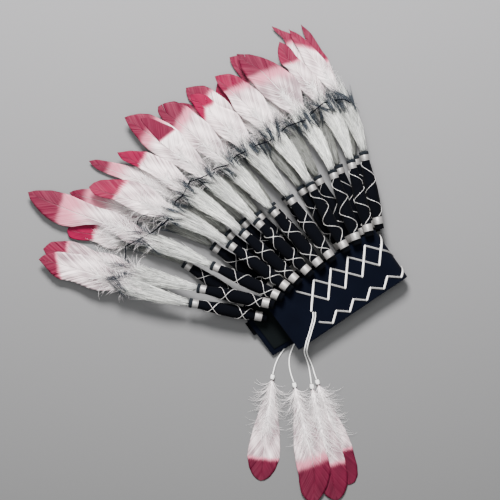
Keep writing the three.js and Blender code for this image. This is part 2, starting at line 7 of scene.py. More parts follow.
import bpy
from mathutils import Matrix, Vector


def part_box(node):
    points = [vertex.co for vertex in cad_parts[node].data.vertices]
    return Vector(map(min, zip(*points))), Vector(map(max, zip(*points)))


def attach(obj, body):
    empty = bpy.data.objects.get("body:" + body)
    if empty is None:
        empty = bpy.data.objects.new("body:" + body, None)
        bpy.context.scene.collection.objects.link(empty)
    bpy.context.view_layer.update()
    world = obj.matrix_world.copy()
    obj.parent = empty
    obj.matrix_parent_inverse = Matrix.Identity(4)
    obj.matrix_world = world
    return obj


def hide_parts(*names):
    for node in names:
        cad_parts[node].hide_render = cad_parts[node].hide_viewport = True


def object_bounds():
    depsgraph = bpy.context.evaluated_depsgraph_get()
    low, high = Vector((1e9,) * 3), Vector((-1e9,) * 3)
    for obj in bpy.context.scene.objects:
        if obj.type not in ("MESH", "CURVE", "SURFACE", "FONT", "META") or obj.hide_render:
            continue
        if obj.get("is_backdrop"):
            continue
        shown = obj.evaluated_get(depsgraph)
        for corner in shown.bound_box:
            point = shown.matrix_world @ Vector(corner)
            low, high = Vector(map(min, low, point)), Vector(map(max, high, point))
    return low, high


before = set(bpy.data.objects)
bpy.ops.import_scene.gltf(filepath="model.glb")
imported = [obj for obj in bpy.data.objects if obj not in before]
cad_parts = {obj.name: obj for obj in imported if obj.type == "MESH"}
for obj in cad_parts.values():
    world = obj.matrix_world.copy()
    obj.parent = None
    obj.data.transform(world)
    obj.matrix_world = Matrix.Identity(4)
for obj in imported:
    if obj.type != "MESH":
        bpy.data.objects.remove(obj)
cad_box = [list(corner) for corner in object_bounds()]

import math

import bmesh
import bpy
import numpy as np
from mathutils import Matrix, Vector
from mathutils.bvhtree import BVHTree

MM = 0.001
TABLE_GAP = 0.1     # mm, the least that a strand keeps above the table
UP = np.array([0.0, 0.0, 1.0])
ORIGIN = np.array([135.484, -169.209, 0.039])     # from the modelling axes to the frame, in mm
luck = np.random.default_rng(7)
print("CAD box", [[round(value, 4) for value in corner] for corner in cad_box])

# %% [markdown]
# ## The camera
# The photograph looks straight down on the headdress, which lies turned on the table. A camera
# high above with a long lens keeps the same outlines for near and far parts. Its roll turns the
# band to the photograph's angle.

# %% Camera straight above, turned to the photograph's angle
CAMERA_HEIGHT, MIDDLE_HEIGHT = 2.6, 0.015
VIEW_CENTRE, VIEW_WIDTH = (0.0050, -0.0408), 0.600
VIEW_TURN = math.radians(32.5)
SENSOR_WIDTH = 36


def put(name, data):
    """A new object in the scene, from a mesh, a camera or a light."""
    thing = bpy.data.objects.new(name, data)
    bpy.context.collection.objects.link(thing)
    return thing


lens = bpy.data.cameras.new("camera")
lens.lens = SENSOR_WIDTH * (CAMERA_HEIGHT - MIDDLE_HEIGHT) / VIEW_WIDTH
camera = put("camera", lens)
camera.location = (*VIEW_CENTRE, CAMERA_HEIGHT)
camera.rotation_euler = (0, 0, -VIEW_TURN)
bpy.context.scene.camera = camera
print("camera lens", round(lens.lens, 1), "mm")

# %% [markdown]
# ## Shader expressions
# A material here is a small sum of patterns. Writing the sums as Python keeps them readable:
# this class wraps one socket, and `+`, `-` and `*` on it add Math nodes. Every other node comes
# from its one method, `make`.


# %% A socket that can be used in sums
class Socket:
    def __init__(self, tree, link=None):
        self.tree = tree
        self.link = link

    def make(self, kind, settings=None, output=0, **values):
        """Any node. Its inputs go by name, or by number as in0, in1 and so on."""
        node = self.tree.nodes.new(kind)
        for name, value in (settings or {}).items():
            setattr(node, name, value)
        for name, value in values.items():
            key = int(name[2:]) if name[2:].isdigit() else name.replace("_", " ")
            if isinstance(value, Socket):
                self.tree.links.new(value.link, node.inputs[key])
            else:
                node.inputs[key].default_value = value
        return Socket(self.tree, node.outputs[output])

    def sum_with(self, operation, first, second):
        return self.make("ShaderNodeMath", {"operation": operation}, in0=first, in1=second)

    def __add__(self, other):
        return self.sum_with("ADD", self, other)

    def __sub__(self, other):
        return self.sum_with("SUBTRACT", self, other)

    def __rsub__(self, other):
        return self.sum_with("SUBTRACT", other, self)

    def __mul__(self, other):
        return self.sum_with("MULTIPLY", self, other)

    __radd__ = __add__
    __rmul__ = __mul__

    def colour(self, low, high):
        """A colour between two others, by this value from 0 to 1."""
        low, high = (end if isinstance(end, Socket) else (*end, 1) for end in (low, high))
        settings = {"data_type": "RGBA", "clamp_factor": True}
        return self.make("ShaderNodeMix", settings, output=2, in0=self, in6=low, in7=high)


def finish_of(name, roughness, metallic=0.0, **constants):
    """A new material, the Socket that starts its sums, and its shader node."""
    material = bpy.data.materials.new(name)
    material.use_nodes = True
    shader = material.node_tree.nodes["Principled BSDF"]
    for key, value in dict(Roughness=roughness, Metallic=metallic, **constants).items():
        shader.inputs[key.replace("_", " ")].default_value = value
    return material, Socket(material.node_tree), shader


def feed(shader, key, socket):
    socket.tree.links.new(socket.link, shader.inputs[key])


def bump(shader, height, strength, distance):
    feed(shader, "Normal",
         height.make("ShaderNodeBump", Height=height, Strength=strength, Distance=distance))


def painted(start, name):
    """What is painted on the mesh under this name."""
    return start.make("ShaderNodeAttribute", {"attribute_name": name}, output=2)


def noise(place, scale, detail, roughness=0.5):
    return place.make("ShaderNodeTexNoise", Vector=place, Scale=scale, Detail=detail, Roughness=roughness)


# %% [markdown]
# ## Finishes
# Felt is a mat of short fibres: almost black navy with a fine, uneven bump and next to no shine.
# The ribbon is woven from metal-wrapped yarn, with fine lines across; some legs get a painted highlight
# and the others painted shade, so they look grey. A feather's near-white turns to red at its dyed tip and
# to a painted mauve-grey shade in its folds, and hair goes from a dark to a light colour, partly its own
# tones and partly painted shade between hairs, by painted attributes.

# %% Felt, lining and tab
def felt(name, dark, light, fibre_scale, sheen):
    material, start, shader = finish_of(name, 0.95, Sheen_Weight=sheen, Sheen_Roughness=0.5,
                                        Specular_IOR_Level=0.03)
    place = start.make("ShaderNodeTexCoord", output=3)
    fibres = noise(place, fibre_scale, 6.0, 0.75)
    shade = fibres * 0.65 + noise(place, 38.0, 2.0) * 0.45 - 0.1
    feed(shader, "Base Color", shade.colour(dark, light))
    bump(shader, fibres, 0.6, 0.0006)
    return material


navy_felt = felt("navy_felt", (0.0004, 0.0006, 0.0018), (0.002, 0.0031, 0.0078), 1500.0, 0.01)
sleeve_felt = felt("sleeve_felt", (0.0003, 0.0004, 0.0008), (0.0018, 0.0022, 0.0038), 1300.0, 0.006)
ring_felt = felt("ring_felt", (0.002, 0.0026, 0.0034), (0.014, 0.017, 0.021), 1300.0, 0.01)
lining_cloth = felt("lining_cloth", (0.0016, 0.0022, 0.0024), (0.0042, 0.0056, 0.006), 2200.0, 0.01)
tab_cloth = felt("tab_cloth", (0.0006, 0.0007, 0.001), (0.002, 0.002, 0.003), 900.0, 0.01)
print("felts made")


# %% Silver ribbon, cuffs and thread
def silver(name, low, high, lines, roughness, metallic):
    material, start, shader = finish_of(name, roughness, metallic, Specular_IOR_Level=0.6)
    run = start.make("ShaderNodeUVMap", {"uv_map": "along"})
    split = start.make("ShaderNodeSeparateXYZ", in0=run, output=1)
    ridges = start.make("ShaderNodeMath", {"operation": "SINE"}, in0=split * lines) * 0.5 + 0.5
    grain = noise(run, 900.0, 3.0)
    # The painted value bright is painted light: a highlight on the ribbon's top legs and shade on its
    # others, shade on the back row's threads, and one even level on the cuffs.
    shade = painted(start, "bright") * 0.72 + ridges * 0.16 + grain * 0.24 - 0.06
    feed(shader, "Base Color", shade.colour(low, high))
    bump(shader, ridges * 0.7 + grain * 0.5, 0.5, 0.0003)
    return material


ribbon_silver = silver("ribbon_silver", (0.03, 0.031, 0.033), (0.9, 0.88, 0.84), 4200.0, 0.4, 0.3)
cuff_silver = silver("cuff_silver", (0.03, 0.029, 0.028), (0.42, 0.405, 0.39), 3400.0, 0.45, 0.5)
thread_silver = silver("thread_silver", (0.03, 0.032, 0.036), (0.95, 0.93, 0.9), 5200.0, 0.35, 0.4)
print("silvers made")


# %% Goose feather with a dyed tip
RED, ROSE, PINK = (0.19, 0.0003, 0.029), (0.078, 0.0006, 0.0145), (0.46, 0.15, 0.2)
PALE, MAUVE_GREY, DEEPENING = (0.94, 0.835, 0.825), (0.2, 0.155, 0.165), (0.45, 0.45, 0.5, 1)
BARBS, CLUMPS = (22.0, 520.0, 1.0), (12.0, 150.0, 1.0)

# dye is 0 where white and 1 where red, tone is 0 for bright red and 1 for dull rose, and the third
# value is painted shade: how much a place is darkened for the shade of its folds, furrows, neighbours and
# curled rims.
goose_feather, start, shader = finish_of("goose_feather", 0.6, Specular_IOR_Level=0.1)
dye, tone, fold = (painted(start, name) for name in ("dye", "tone", "fold"))
run = start.make("ShaderNodeUVMap", {"uv_map": "along"})
lines = noise(start.make("ShaderNodeMapping", Vector=run, Scale=BARBS), 1.0, 4.0, 0.65)
bands = noise(start.make("ShaderNodeMapping", Vector=run, Scale=CLUMPS), 1.0, 3.0)
clouds = noise(run, 34.0, 1.0)
# The whites turn mauve-grey, and the reds darker, along the barb streaks and where painted shade lies.
white = (lines * 2.1 + bands * 1.1 + clouds * 1.0 - 1.36 - fold * 1.1).colour(MAUVE_GREY, PALE)
dyed = tone.colour(RED, ROSE)
deeper = dyed.make("ShaderNodeMix", {"data_type": "RGBA", "blend_type": "MULTIPLY"}, output=2,
                   in0=1.0, in6=dyed, in7=DEEPENING)
deep = (lines * 0.7 + bands * 0.5 + 0.15 - fold * 0.7).colour(deeper, dyed)
edge = dye + (lines - 0.5) * 0.7 * dye * (1 - dye) * 4
streaked = (tone * (1 - tone) * (lines * 1.8 + bands * 0.6 - 0.98)).colour(deep, PINK)
feed(shader, "Base Color", (edge * 2 - 1).colour((edge * 2).colour(white, PINK), streaked))
bump(shader, lines * 0.8 + bands * 0.9, 0.9, 0.0007)
print("feather made")


# %% Fur, down, quills and cords
def hair_finish(name, dark, light, roughness=0.6, dyes=False, gloss=0.4):
    material, start, shader = finish_of(name, roughness, Specular_IOR_Level=gloss)
    strands = noise(start.make("ShaderNodeTexCoord", output=3), 260.0, 3.0)
    shade = (painted(start, "tint") * 0.9 + strands * 0.25 - 0.1).colour(dark, light)
    feed(shader, "Base Color", painted(start, "dye").colour(shade, ROSE) if dyes else shade)
    return material


plume_fur = hair_finish("plume_fur", (0.02, 0.026, 0.032), (0.95, 0.96, 0.9))
shaded_fur = hair_finish("shaded_fur", (0.012, 0.013, 0.013), (0.44, 0.45, 0.41))
wisp_hair = hair_finish("wisp_hair", (0.004, 0.006, 0.009), (0.06, 0.071, 0.084), gloss=0.1)
white_down = hair_finish("white_down", (0.4, 0.37, 0.37), (0.97, 0.92, 0.91), dyes=True)
quill = hair_finish("quill", (0.5, 0.45, 0.43), (0.92, 0.86, 0.84), 0.45, dyes=True)
cord_cotton = hair_finish("cord_cotton", (0.45, 0.45, 0.44), (0.9, 0.9, 0.87))
spacer_cotton = hair_finish("spacer_cotton", (0.0008, 0.001, 0.0018), (0.006, 0.007, 0.011), 0.9,
                            gloss=0.03)
print("hair finishes made")

# %% [markdown]
# ## Curves and small things in numbers
# A quill, a hair or a thread is a line with a thickness that changes. Thousands of them are made
# at once from arrays: each is a thin three-sided rod that follows its own points and tapers.


# %% Lines, frames along them, and joined rods
def unit(vectors):
    return vectors / np.maximum(np.linalg.norm(vectors, axis=-1, keepdims=True), 1e-9)


class Line:
    """A curve through points, read at shares of its length."""

    def __init__(self, points):
        self.points = np.asarray(points, float)
        steps = np.linalg.norm(np.diff(self.points, axis=0), axis=1)
        travelled = np.concatenate([[0], np.cumsum(steps)])
        self.length = travelled[-1]
        self.share = travelled / self.length
        self.heading = unit(np.gradient(self.points, self.share, axis=0))

    def at(self, share):
        return np.stack([np.interp(share, self.share, self.points[:, i]) for i in range(3)], -1)

    def along(self, share):
        return unit(np.stack([np.interp(share, self.share, self.heading[:, i]) for i in range(3)], -1))

    def frame(self, share, roll=0.0):
        """The place, and the directions along, to the right and over, at each share."""
        along = self.along(share)
        level = unit(np.cross(along, UP))
        rise = np.cross(level, along)
        turn = math.radians(roll)
        right = level * math.cos(turn) + rise * math.sin(turn)
        over = rise * math.cos(turn) - level * math.sin(turn)
        return self.at(share), along, right, over

    def beside(self, share, across, above=0.0, roll=0.0):
        """Points so many mm to the right of the line and over it."""
        at, _, right, over = self.frame(share, roll)
        return at + right * np.expand_dims(across, -1) + over * np.expand_dims(above, -1)


def smooth_line(points, count):
    """A curve that passes through every point, as a Line."""
    points = np.asarray(points, float)
    ends = np.vstack([2 * points[0] - points[1], points, 2 * points[-1] - points[-2]])
    t = np.linspace(0, len(points) - 1 - 1e-9, count)
    k = t.astype(int)
    f = (t - k)[:, None]
    a, b, c, d = ends[k], ends[k + 1], ends[k + 2], ends[k + 3]
    return Line(0.5 * (2 * b + (c - a) * f + (2 * a - 5 * b + 4 * c - d) * f ** 2
                       + (3 * b - a - 3 * c + d) * f ** 3))


def dress(piece, material, slot, nodes=()):
    """Gives a piece its finish and its place in the frame."""
    piece.data.materials.append(material)
    if nodes:
        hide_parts(*nodes)
    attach(piece, "root")
    return piece


def smooth_piece(name, mesh):
    mesh.polygons.foreach_set("use_smooth", np.ones(len(mesh.polygons), bool))
    return put(name, mesh)


def piece_from(form, name):
    """An object from a bmesh."""
    mesh = bpy.data.meshes.new(name)
    form.to_mesh(mesh)
    form.free()
    return smooth_piece(name, mesh)


def paint(piece, name, values):
    """Writes a value for each vertex, or the same one for all."""
    values = np.broadcast_to(np.ravel(values), len(piece.data.vertices))
    layer = piece.data.attributes.new(name, "FLOAT", "POINT")
    layer.data.foreach_set("value", values.astype(np.float32))


def thicken(piece, thickness):
    """Gives a sheet a thickness in mm, half of it on each side."""
    solidify = piece.modifiers.new("thickness", "SOLIDIFY")
    solidify.thickness = thickness * MM
    solidify.offset = 0


def taper(points, radii, at=0.5):
    """Radii at even steps: the root's, the one at a share of the length, and the end's."""
    return np.interp(np.linspace(0, 1, points), [0, at, 1], radii)


def rods(name, paths, radii, tint, sides=3, flat=1.0):
    """One mesh of tapering rods along paths, rods x points x 3, in mm."""
    paths = np.asarray(paths, float)
    count, points = paths.shape[:2]
    heading = unit(np.gradient(paths, axis=1))
    level = np.cross(heading, UP)
    upright = np.linalg.norm(level, axis=-1, keepdims=True) < 0.05
    level = unit(np.where(upright, [1.0, 0, 0], level))
    rise = np.cross(level, heading)
    turn = (2 * np.pi * np.arange(sides) / sides + np.pi / 2)[:, None]
    ring = level[:, :, None] * np.cos(turn) + rise[:, :, None] * np.sin(turn) * flat
    radii = np.broadcast_to(radii, (count, points))[:, :, None, None]
    verts = paths[:, :, None] + ring * radii
    verts[..., 2] = np.maximum(verts[..., 2], TABLE_GAP)
    index = np.arange(count * points * sides).reshape(count, points, sides)
    here, there = index[:, :-1], index[:, 1:]
    quads = np.stack([here, np.roll(here, -1, 2), np.roll(there, -1, 2), there], -1).reshape(-1, 4)
    caps = np.concatenate([index[:, 0, ::-1], index[:, -1]]).reshape(-1, sides)
    mesh = bpy.data.meshes.new(name)
    mesh.from_pydata(verts.reshape(-1, 3) * MM, [], [*quads.tolist(), *caps.tolist()])
    piece = smooth_piece(name, mesh)
    tint = np.reshape(tint, (-1, 1)) if np.ndim(tint) < 2 else tint
    paint(piece, "tint", np.broadcast_to(tint[:, :, None], (count, points, sides)))
    return piece


# %% [markdown]
# ## The drops' cords
# Four white cotton cords hang from the temples: two from the front half, over its rim and down to
# the table, and two from under the back half. A cord is a plied yarn, so its tube carries two
# shallow grooves that wind round it. Cords come first, because their room is the tightest.

# %% Cord routes, the same points as in the part's source
CORD_DIAMETER = 1.5
CORD_ROUTES = {
    1: [(-106.9, 25.6, 29.6), (-110, 20.6, 29), (-113.9, 16.2, 28.7), (-118.3, 12.3, 28.5),
        (-122.7, 8.3, 28.3), (-127.1, 4.4, 28.2), (-131.7, 0.7, 28), (-135.9, -3.4, 27.9),
        (-139.5, -7.1, 25.1), (-141.3, -10, 20.3), (-142.4, -12.9, 15.3), (-143.1, -16.2, 10.4),
        (-144, -20.3, 6.3), (-145.3, -25.2, 3.3), (-147.2, -30.6, 1.9), (-149.5, -36, 1.6),
        (-151.9, -41.4, 2.2), (-154.7, -47.2, 2.7)],
    2: [(-104.6, 24, 29.5), (-107.6, 19.3, 29), (-111.3, 15.1, 28.6), (-115.6, 11.3, 28.5),
        (-119.8, 7.6, 28.3), (-124, 3.9, 28.1), (-128.3, 0.2, 28), (-132.5, -3.6, 27.7),
        (-135.9, -7.3, 25.6), (-138.2, -10.4, 21.5), (-139.4, -13.2, 16.7), (-140.3, -16.4, 12.2),
        (-140.8, -19.9, 7.8), (-141.3, -24.2, 4.2), (-142.3, -29.3, 2), (-143.7, -34.7, 1.4),
        (-145.3, -40.1, 2), (-146.7, -46.1, 2.7)],
    3: [(-111.2, 27.6, 5.9), (-116.5, 24.5, 5.3), (-121.9, 21.5, 4.9), (-127.4, 18.7, 4.4),
        (-132.9, 16, 3.9), (-138.5, 13.5, 3.4), (-144.2, 11.1, 2.9), (-149.9, 9, 2.3), (-155.7, 7, 1.9),
        (-161.6, 5, 1.5), (-167.2, 2.6, 1.3), (-172.7, -0.2, 1.2), (-177.9, -3.7, 1.3), (-182.5, -7.6, 1.8),
        (-187.6, -12.6, 2.7)],
    4: [(-108.4, 24.6, 5.6), (-113.8, 21, 5), (-119.3, 17.7, 4.5), (-124.9, 14.6, 3.9), (-130.7, 11.7, 3.3),
        (-136.5, 8.9, 2.8), (-142.3, 6, 2.3), (-148, 3.1, 1.8), (-153.4, -0.5, 1.5), (-158.3, -4.7, 1.2),
        (-162.4, -9.6, 1.2), (-165.7, -15.2, 1.2), (-168.2, -21.2, 1.4), (-170.1, -27.4, 1.8),
        (-171.7, -34.4, 2.7)],
}


def plied_tube(name, line, radius, turns_per_mm, sides=12):
    """A closed tube along a line, with two grooves that wind round it."""
    steps = int(line.length / 0.8)
    share = np.linspace(0, 1, steps)
    place, _, right, over = line.frame(share)
    form = bmesh.new()
    bmesh.ops.create_cone(form, cap_ends=True, segments=sides, radius1=1, radius2=1, depth=1)
    long_edges = [edge for edge in form.edges if abs(edge.verts[0].co.z - edge.verts[1].co.z) > 0.5]
    bmesh.ops.subdivide_edges(form, edges=long_edges, cuts=steps - 2, use_grid_fill=True)
    for vertex in form.verts:
        k = round((vertex.co.z + 0.5) * (steps - 1))
        angle = math.atan2(vertex.co.y, vertex.co.x)
        groove = math.cos(2 * (angle - 2 * math.pi * turns_per_mm * share[k] * line.length))
        reach = radius * (0.93 + 0.07 * groove)
        vertex.co = Vector((place[k] + right[k] * math.cos(angle) * reach
                            + over[k] * math.sin(angle) * reach) * MM)
    bmesh.ops.recalc_face_normals(form, faces=form.faces)
    piece = piece_from(form, name)
    paint(piece, "tint", 0.85)
    return piece


cords = {}
for number, route in CORD_ROUTES.items():
    line = smooth_line(np.array(route) + ORIGIN, 160)
    cord = plied_tube(f"cotton_cord_{number}", line, CORD_DIAMETER / 2, 0.22)
    cords[number] = dress(cord, cord_cotton, "white_cord", [f"drop_cord_{number}"]), line
    print(cord.name, round(line.length, 1), "mm long")

# %% [markdown]
# ## The felt browband
# The band is one strip of thick felt, bent round at the front centre. A flat grid, bent by the
# same rule as the CAD strip and given its thickness by Solidify, keeps the felt's natural soft
# bend. Small waves keep it from looking like card.

# %% Sizes of the band, and a point on it
BAND_HEIGHT, BAND_THICKNESS = 69.0, 2.0
FRONT_LENGTH, BACK_LENGTH = 162.0, 192.0
GAP_AT_RIM, GAP_AT_TOP = 19.0, 13.0
RIM_REST, SEAT_HEIGHT, SEAT_SHARE = 3.2, 13.55, 65.0 / 69.0
FRONT_DROOP, BACK_RISE = 4.0, 7.0


def band_point(along, share, depth):
    """Points of the band: along the felt from the fold in mm, a share of its height, and outwards."""
    along, share, depth = np.broadcast_arrays(along, share, depth)
    radius = (GAP_AT_RIM + (GAP_AT_TOP - GAP_AT_RIM) * share + BAND_THICKNESS) / 2
    middle = RIM_REST + (SEAT_HEIGHT - RIM_REST) * share / SEAT_SHARE + BAND_THICKNESS / 2 + radius
    flat = np.maximum(np.abs(along) - math.pi / 2 * radius, 0)
    front = along > 0
    sway = np.where(front, -FRONT_DROOP * flat / FRONT_LENGTH, BACK_RISE * flat / BACK_LENGTH)
    angle = np.clip(along / radius, -math.pi / 2, math.pi / 2)
    reach = radius + depth
    x = np.where(flat > 0, -flat, reach * np.cos(angle))
    z = middle + np.where(flat > 0, np.where(front, reach, -reach), reach * np.sin(angle))
    return np.stack([x, share * BAND_HEIGHT + sway, z], -1) + ORIGIN


def ripple(along, share):
    """The felt's slow waves, in mm."""
    return 0.22 * np.sin(along * 0.09 + 2 * share) + 0.14 * np.sin(along * 0.21 - 5 * share + 1)


def grid(form, columns, rows):
    """A grid in a bmesh: its vertices, and where each lies from 0 to 1 across and along."""
    verts = bmesh.ops.create_grid(form, x_segments=columns, y_segments=rows, size=0.5)["verts"]
    return verts, *(np.array([vertex.co[:2] for vertex in verts]) + 0.5).T


def bent_sheet(name, start, end, low, high, depth, columns, rows, thickness):
    """A grid on the band, bent round it and given a thickness."""
    form = bmesh.new()
    verts, across, up = grid(form, columns, rows)
    along, share = start + (end - start) * across, low + (high - low) * up
    for vertex, place in zip(verts, band_point(along, share, depth + ripple(along, share)) * MM):
        vertex.co = Vector(place)
    piece = piece_from(form, name)
    thicken(piece, thickness)
    rim = piece.modifiers.new("soft rim", "BEVEL")
    rim.width = 0.3 * thickness * MM
    rim.segments = 2
    rim.limit_method = "ANGLE"
    return piece


HEM, LINING_END, LINING_DEPTH, LINING_THICKNESS = 6.0, 120.0, -1.8, 1.0
TAB_PAST_END, TAB_END, TAB_SHARE, TAB_HALF, TAB_DEPTH, TAB_THICKNESS = 4.0, 12.0, 0.6, 9.0, 1.9, 1.2

band = bent_sheet("felt_band", -BACK_LENGTH, FRONT_LENGTH, 0, 1, 0, 150, 28, BAND_THICKNESS)
dress(band, navy_felt, "navy_felt", ["browband"])
lining = bent_sheet("lining_inset", -BACK_LENGTH + HEM, -BACK_LENGTH + LINING_END, HEM / BAND_HEIGHT,
                    (BAND_HEIGHT - HEM) / BAND_HEIGHT, LINING_DEPTH, 40, 16, LINING_THICKNESS)
dress(lining, lining_cloth, "lining_cloth", ["lining"])
tab = bent_sheet("closure_tab_cloth", -BACK_LENGTH - TAB_PAST_END, -BACK_LENGTH + TAB_END,
                 TAB_SHARE - TAB_HALF / BAND_HEIGHT, TAB_SHARE + TAB_HALF / BAND_HEIGHT, TAB_DEPTH,
                 8, 8, TAB_THICKNESS)
dress(tab, tab_cloth, "tab_cloth", ["closure_tab"])
print("band, lining and tab made")

# %% [markdown]
# ## Silver ribbon
# The trims are a narrow metallic ribbon, laid leg by leg and folded at each corner. A leg is a
# grid strip with rounded ends. The legs that climb to the right lie on top and get a painted
# highlight; the others get painted shade and look grey.

# %% Zigzag legs on the band
RIBBON_WIDTH, RIBBON_THICKNESS, RIBBON_CROWN = 2.3, 0.35, 0.16
CORNER_LAP, TOP_LIFT = 0.42, 0.45


def painted_form(*names):
    """A bmesh that can be painted under these names, and has places for a texture."""
    form = bmesh.new()
    form.loops.layers.uv.new("along")
    for name in names:
        form.verts.layers.float.new(name)
    return form


def lay(form, verts, points, uv, **values):
    """Moves a grid to points in metres, writes uv and what is painted, and returns the faces."""
    layers = [(form.verts.layers.float[name], each) for name, each in values.items()]
    index = {vertex: k for k, vertex in enumerate(verts)}
    for vertex, k in index.items():
        vertex.co = Vector(points[k])
        for layer, each in layers:
            vertex[layer] = float(each[k]) if np.ndim(each) else each
    faces = list({face for vertex in verts for face in vertex.link_faces})
    uv_layer = form.loops.layers.uv["along"]
    for face in faces:
        for loop in face.loops:
            loop[uv_layer].uv = uv[index[loop.vert]]
    return faces


def ribbon_leg(form, start, end, lift, bright):
    """One leg of ribbon between two corners, given as (along, height) in mm."""
    start, end = np.array(start, float), np.array(end, float)
    length = np.linalg.norm(end - start)
    way = (end - start) / length
    verts, onward, aside = grid(form, max(8, int(length / 1.5)), 4)
    onward, aside = 2 * onward - 1, 2 * aside - 1
    half = length / 2 + CORNER_LAP * RIBBON_WIDTH
    run = onward * half
    to_end = np.clip(1 - (half - np.abs(run)) / (0.5 * RIBBON_WIDTH), 0, 1)
    side = aside * RIBBON_WIDTH / 2 * np.sqrt(np.clip(1 - to_end ** 2.6, 0.12, 1))
    along, up = ((start + end) / 2 + way * run[:, None] + np.array([-way[1], way[0]]) * side[:, None]).T
    share = up / BAND_HEIGHT
    depth = BAND_THICKNESS / 2 + lift + RIBBON_CROWN * (1 - aside ** 2) + ripple(along, share)
    uv = np.stack([aside * 0.0015, (run + 0.6 * side) * MM], -1)
    lay(form, verts, band_point(along, share, depth) * MM, uv, bright=bright)


def zigzag(name, step, count, low_first, bottom, top, lift, nodes=()):
    """Legs between corners that change from low to high, with count steps on each side."""
    form = painted_form("bright")
    corners = [(place * step, bottom if ((place + count) % 2 == 0) == low_first else top)
               for place in range(-count, count + 1)]
    for start, end in zip(corners, corners[1:]):
        climbs_left = (end[1] > start[1]) == (end[0] > 0)
        # Legs that lie on top get a painted highlight, the others painted shade.
        shine = 0.0 if climbs_left else 1.0
        ribbon_leg(form, start, end, lift + TOP_LIFT * shine, shine)
    piece = piece_from(form, name)
    thicken(piece, RIBBON_THICKNESS)
    return dress(piece, ribbon_silver, "silver_ribbon", nodes)


zigzag("diamond_ribbon_one", 24.5, 5, True, 30.3, 59.5, 0.55, ["diamond_trim"])
zigzag("diamond_ribbon_two", 24.5, 5, False, 30.3, 59.5, 0.5)
zigzag("rim_ribbon", 12.25, 10, False, 3.9, 14.0, 0.5, ["rim_trim"])
print("ribbons made")

# %% [markdown]
# ## Wrapped sleeves
# Each spike starts as a felt spindle: a bare stub under the band's edge, a silver cuff, a swelling
# wrapped body, a thinner silver cuff and a dark end ring. All of it is round, so one outline is
# spun about its axis. The axis itself is read off the CAD sleeve, end to end.

# %% Where each CAD sleeve starts and points
def sleeve_axis(node):
    """The sleeve's stub end, its direction and its length, in mm."""
    places = [vertex.co[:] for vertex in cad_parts[node].data.vertices]
    points = np.unique(np.round(places, 6), axis=0) / MM
    centre = points.mean(0)
    direction = np.linalg.svd(points - centre)[2][0]
    direction = direction * np.sign(direction[1])
    reach = (points - centre) @ direction
    return centre + direction * reach.min(), direction, reach.max() - reach.min()


axes = {node: sleeve_axis(node) for node in [*(f"sleeve_{name}" for name in "abcdefghijkl"),
                                             *(f"back_sleeve_{name}" for name in "bcdefghijkl")]}
print(len(axes), "sleeves,", round(axes["sleeve_a"][2], 2), "mm long")

# %% The sleeve's outline, and its spun form
STUB, LOWER_CUFF, BODY, UPPER_CUFF, END_RING = 5.7, 8.6, 69.2, 7.0, 4.0
BODY_START = STUB + LOWER_CUFF
BODY_END = BODY_START + BODY
RING_START = BODY_END + UPPER_CUFF
SLEEVE_LENGTH = RING_START + END_RING
OUTLINE = np.array([
    (0, 5.1), (0.5, 5.4), (STUB - 0.1, 5.45), (STUB, 5.8), (STUB + 0.5, 6.0), (BODY_START - 0.5, 6.0),
    (BODY_START, 5.8), (BODY_START + 0.2, 5.6), (BODY_START + 2, 6.0), (BODY_START + 9, 6.8),
    (BODY_START + 18, 7.45), (BODY_START + 27.7, 7.75), (BODY_START + 36, 7.65), (BODY_START + 42.9, 7.36),
    (BODY_START + 52, 6.7), (BODY_START + 61, 5.9), (BODY_END - 1, 5.1), (BODY_END, 5.0),
    (BODY_END + 0.3, 5.2), (RING_START - 0.3, 5.2), (RING_START, 5.1), (RING_START + 0.2, 5.5),
    (RING_START + 0.8, 5.75), (SLEEVE_LENGTH - 0.7, 5.75), (SLEEVE_LENGTH, 5.2)])


def sleeve_radius(reach):
    return np.interp(reach, OUTLINE[:, 0], OUTLINE[:, 1])


def spun_sleeve(name, axis, steps=28):
    """The spindle as one closed form: felt, then cuffs and end ring as further materials."""
    start, direction, _ = axis
    form = painted_form()
    uv = form.loops.layers.uv["along"]
    marks = sorted({*OUTLINE[:, 0], *np.linspace(BODY_START + 3, BODY_END - 3, 22)})
    profile = [form.verts.new((0, 0, 0))]
    profile += [form.verts.new((float(sleeve_radius(y)), 0, y)) for y in marks]
    profile.append(form.verts.new((0, 0, SLEEVE_LENGTH)))
    edges = [form.edges.new(pair) for pair in zip(profile, profile[1:])]
    bmesh.ops.spin(form, geom=[*profile, *edges], cent=(0, 0, 0), axis=(0, 0, 1), angle=2 * math.pi,
                   steps=steps, use_merge=True)
    bmesh.ops.remove_doubles(form, verts=form.verts, dist=0.001)
    bmesh.ops.recalc_face_normals(form, faces=form.faces)
    phase = luck.uniform(0, 6.28)
    for face in form.faces:
        height = face.calc_center_median().z
        on_cuff = STUB < height < BODY_START or BODY_END < height < RING_START
        face.material_index = 1 if on_cuff else 2 if height > RING_START else 0
        for loop in face.loops:
            loop[uv].uv = (math.atan2(loop.vert.co.y, loop.vert.co.x) * 0.004, loop.vert.co.z * MM)
    for vertex in form.verts:
        height = vertex.co.z
        if BODY_START + 2 < height < BODY_END - 2:
            angle = math.atan2(vertex.co.y, vertex.co.x)
            wrap = (0.13 * math.sin(angle * 2 + height * 0.11 + phase)
                    + 0.1 * math.sin(angle + height * 0.42))
            vertex.co.x *= 1 - 0.02 + wrap * 0.12
            vertex.co.y *= 1 - 0.02 + wrap * 0.12
    turn = Vector((0, 0, 1)).rotation_difference(Vector(direction)).to_matrix().to_4x4()
    bmesh.ops.transform(form, matrix=Matrix.Translation(Vector(start * MM)) @ turn @ Matrix.Scale(MM, 4),
                        verts=form.verts)
    piece = piece_from(form, name)
    paint(piece, "bright", 0.62)
    return piece


for node, axis in axes.items():
    sleeve = dress(spun_sleeve(f"felt_{node}", axis), sleeve_felt, "navy_felt", [node])
    sleeve.data.materials.append(cuff_silver)
    sleeve.data.materials.append(ring_felt)
print("sleeves made")
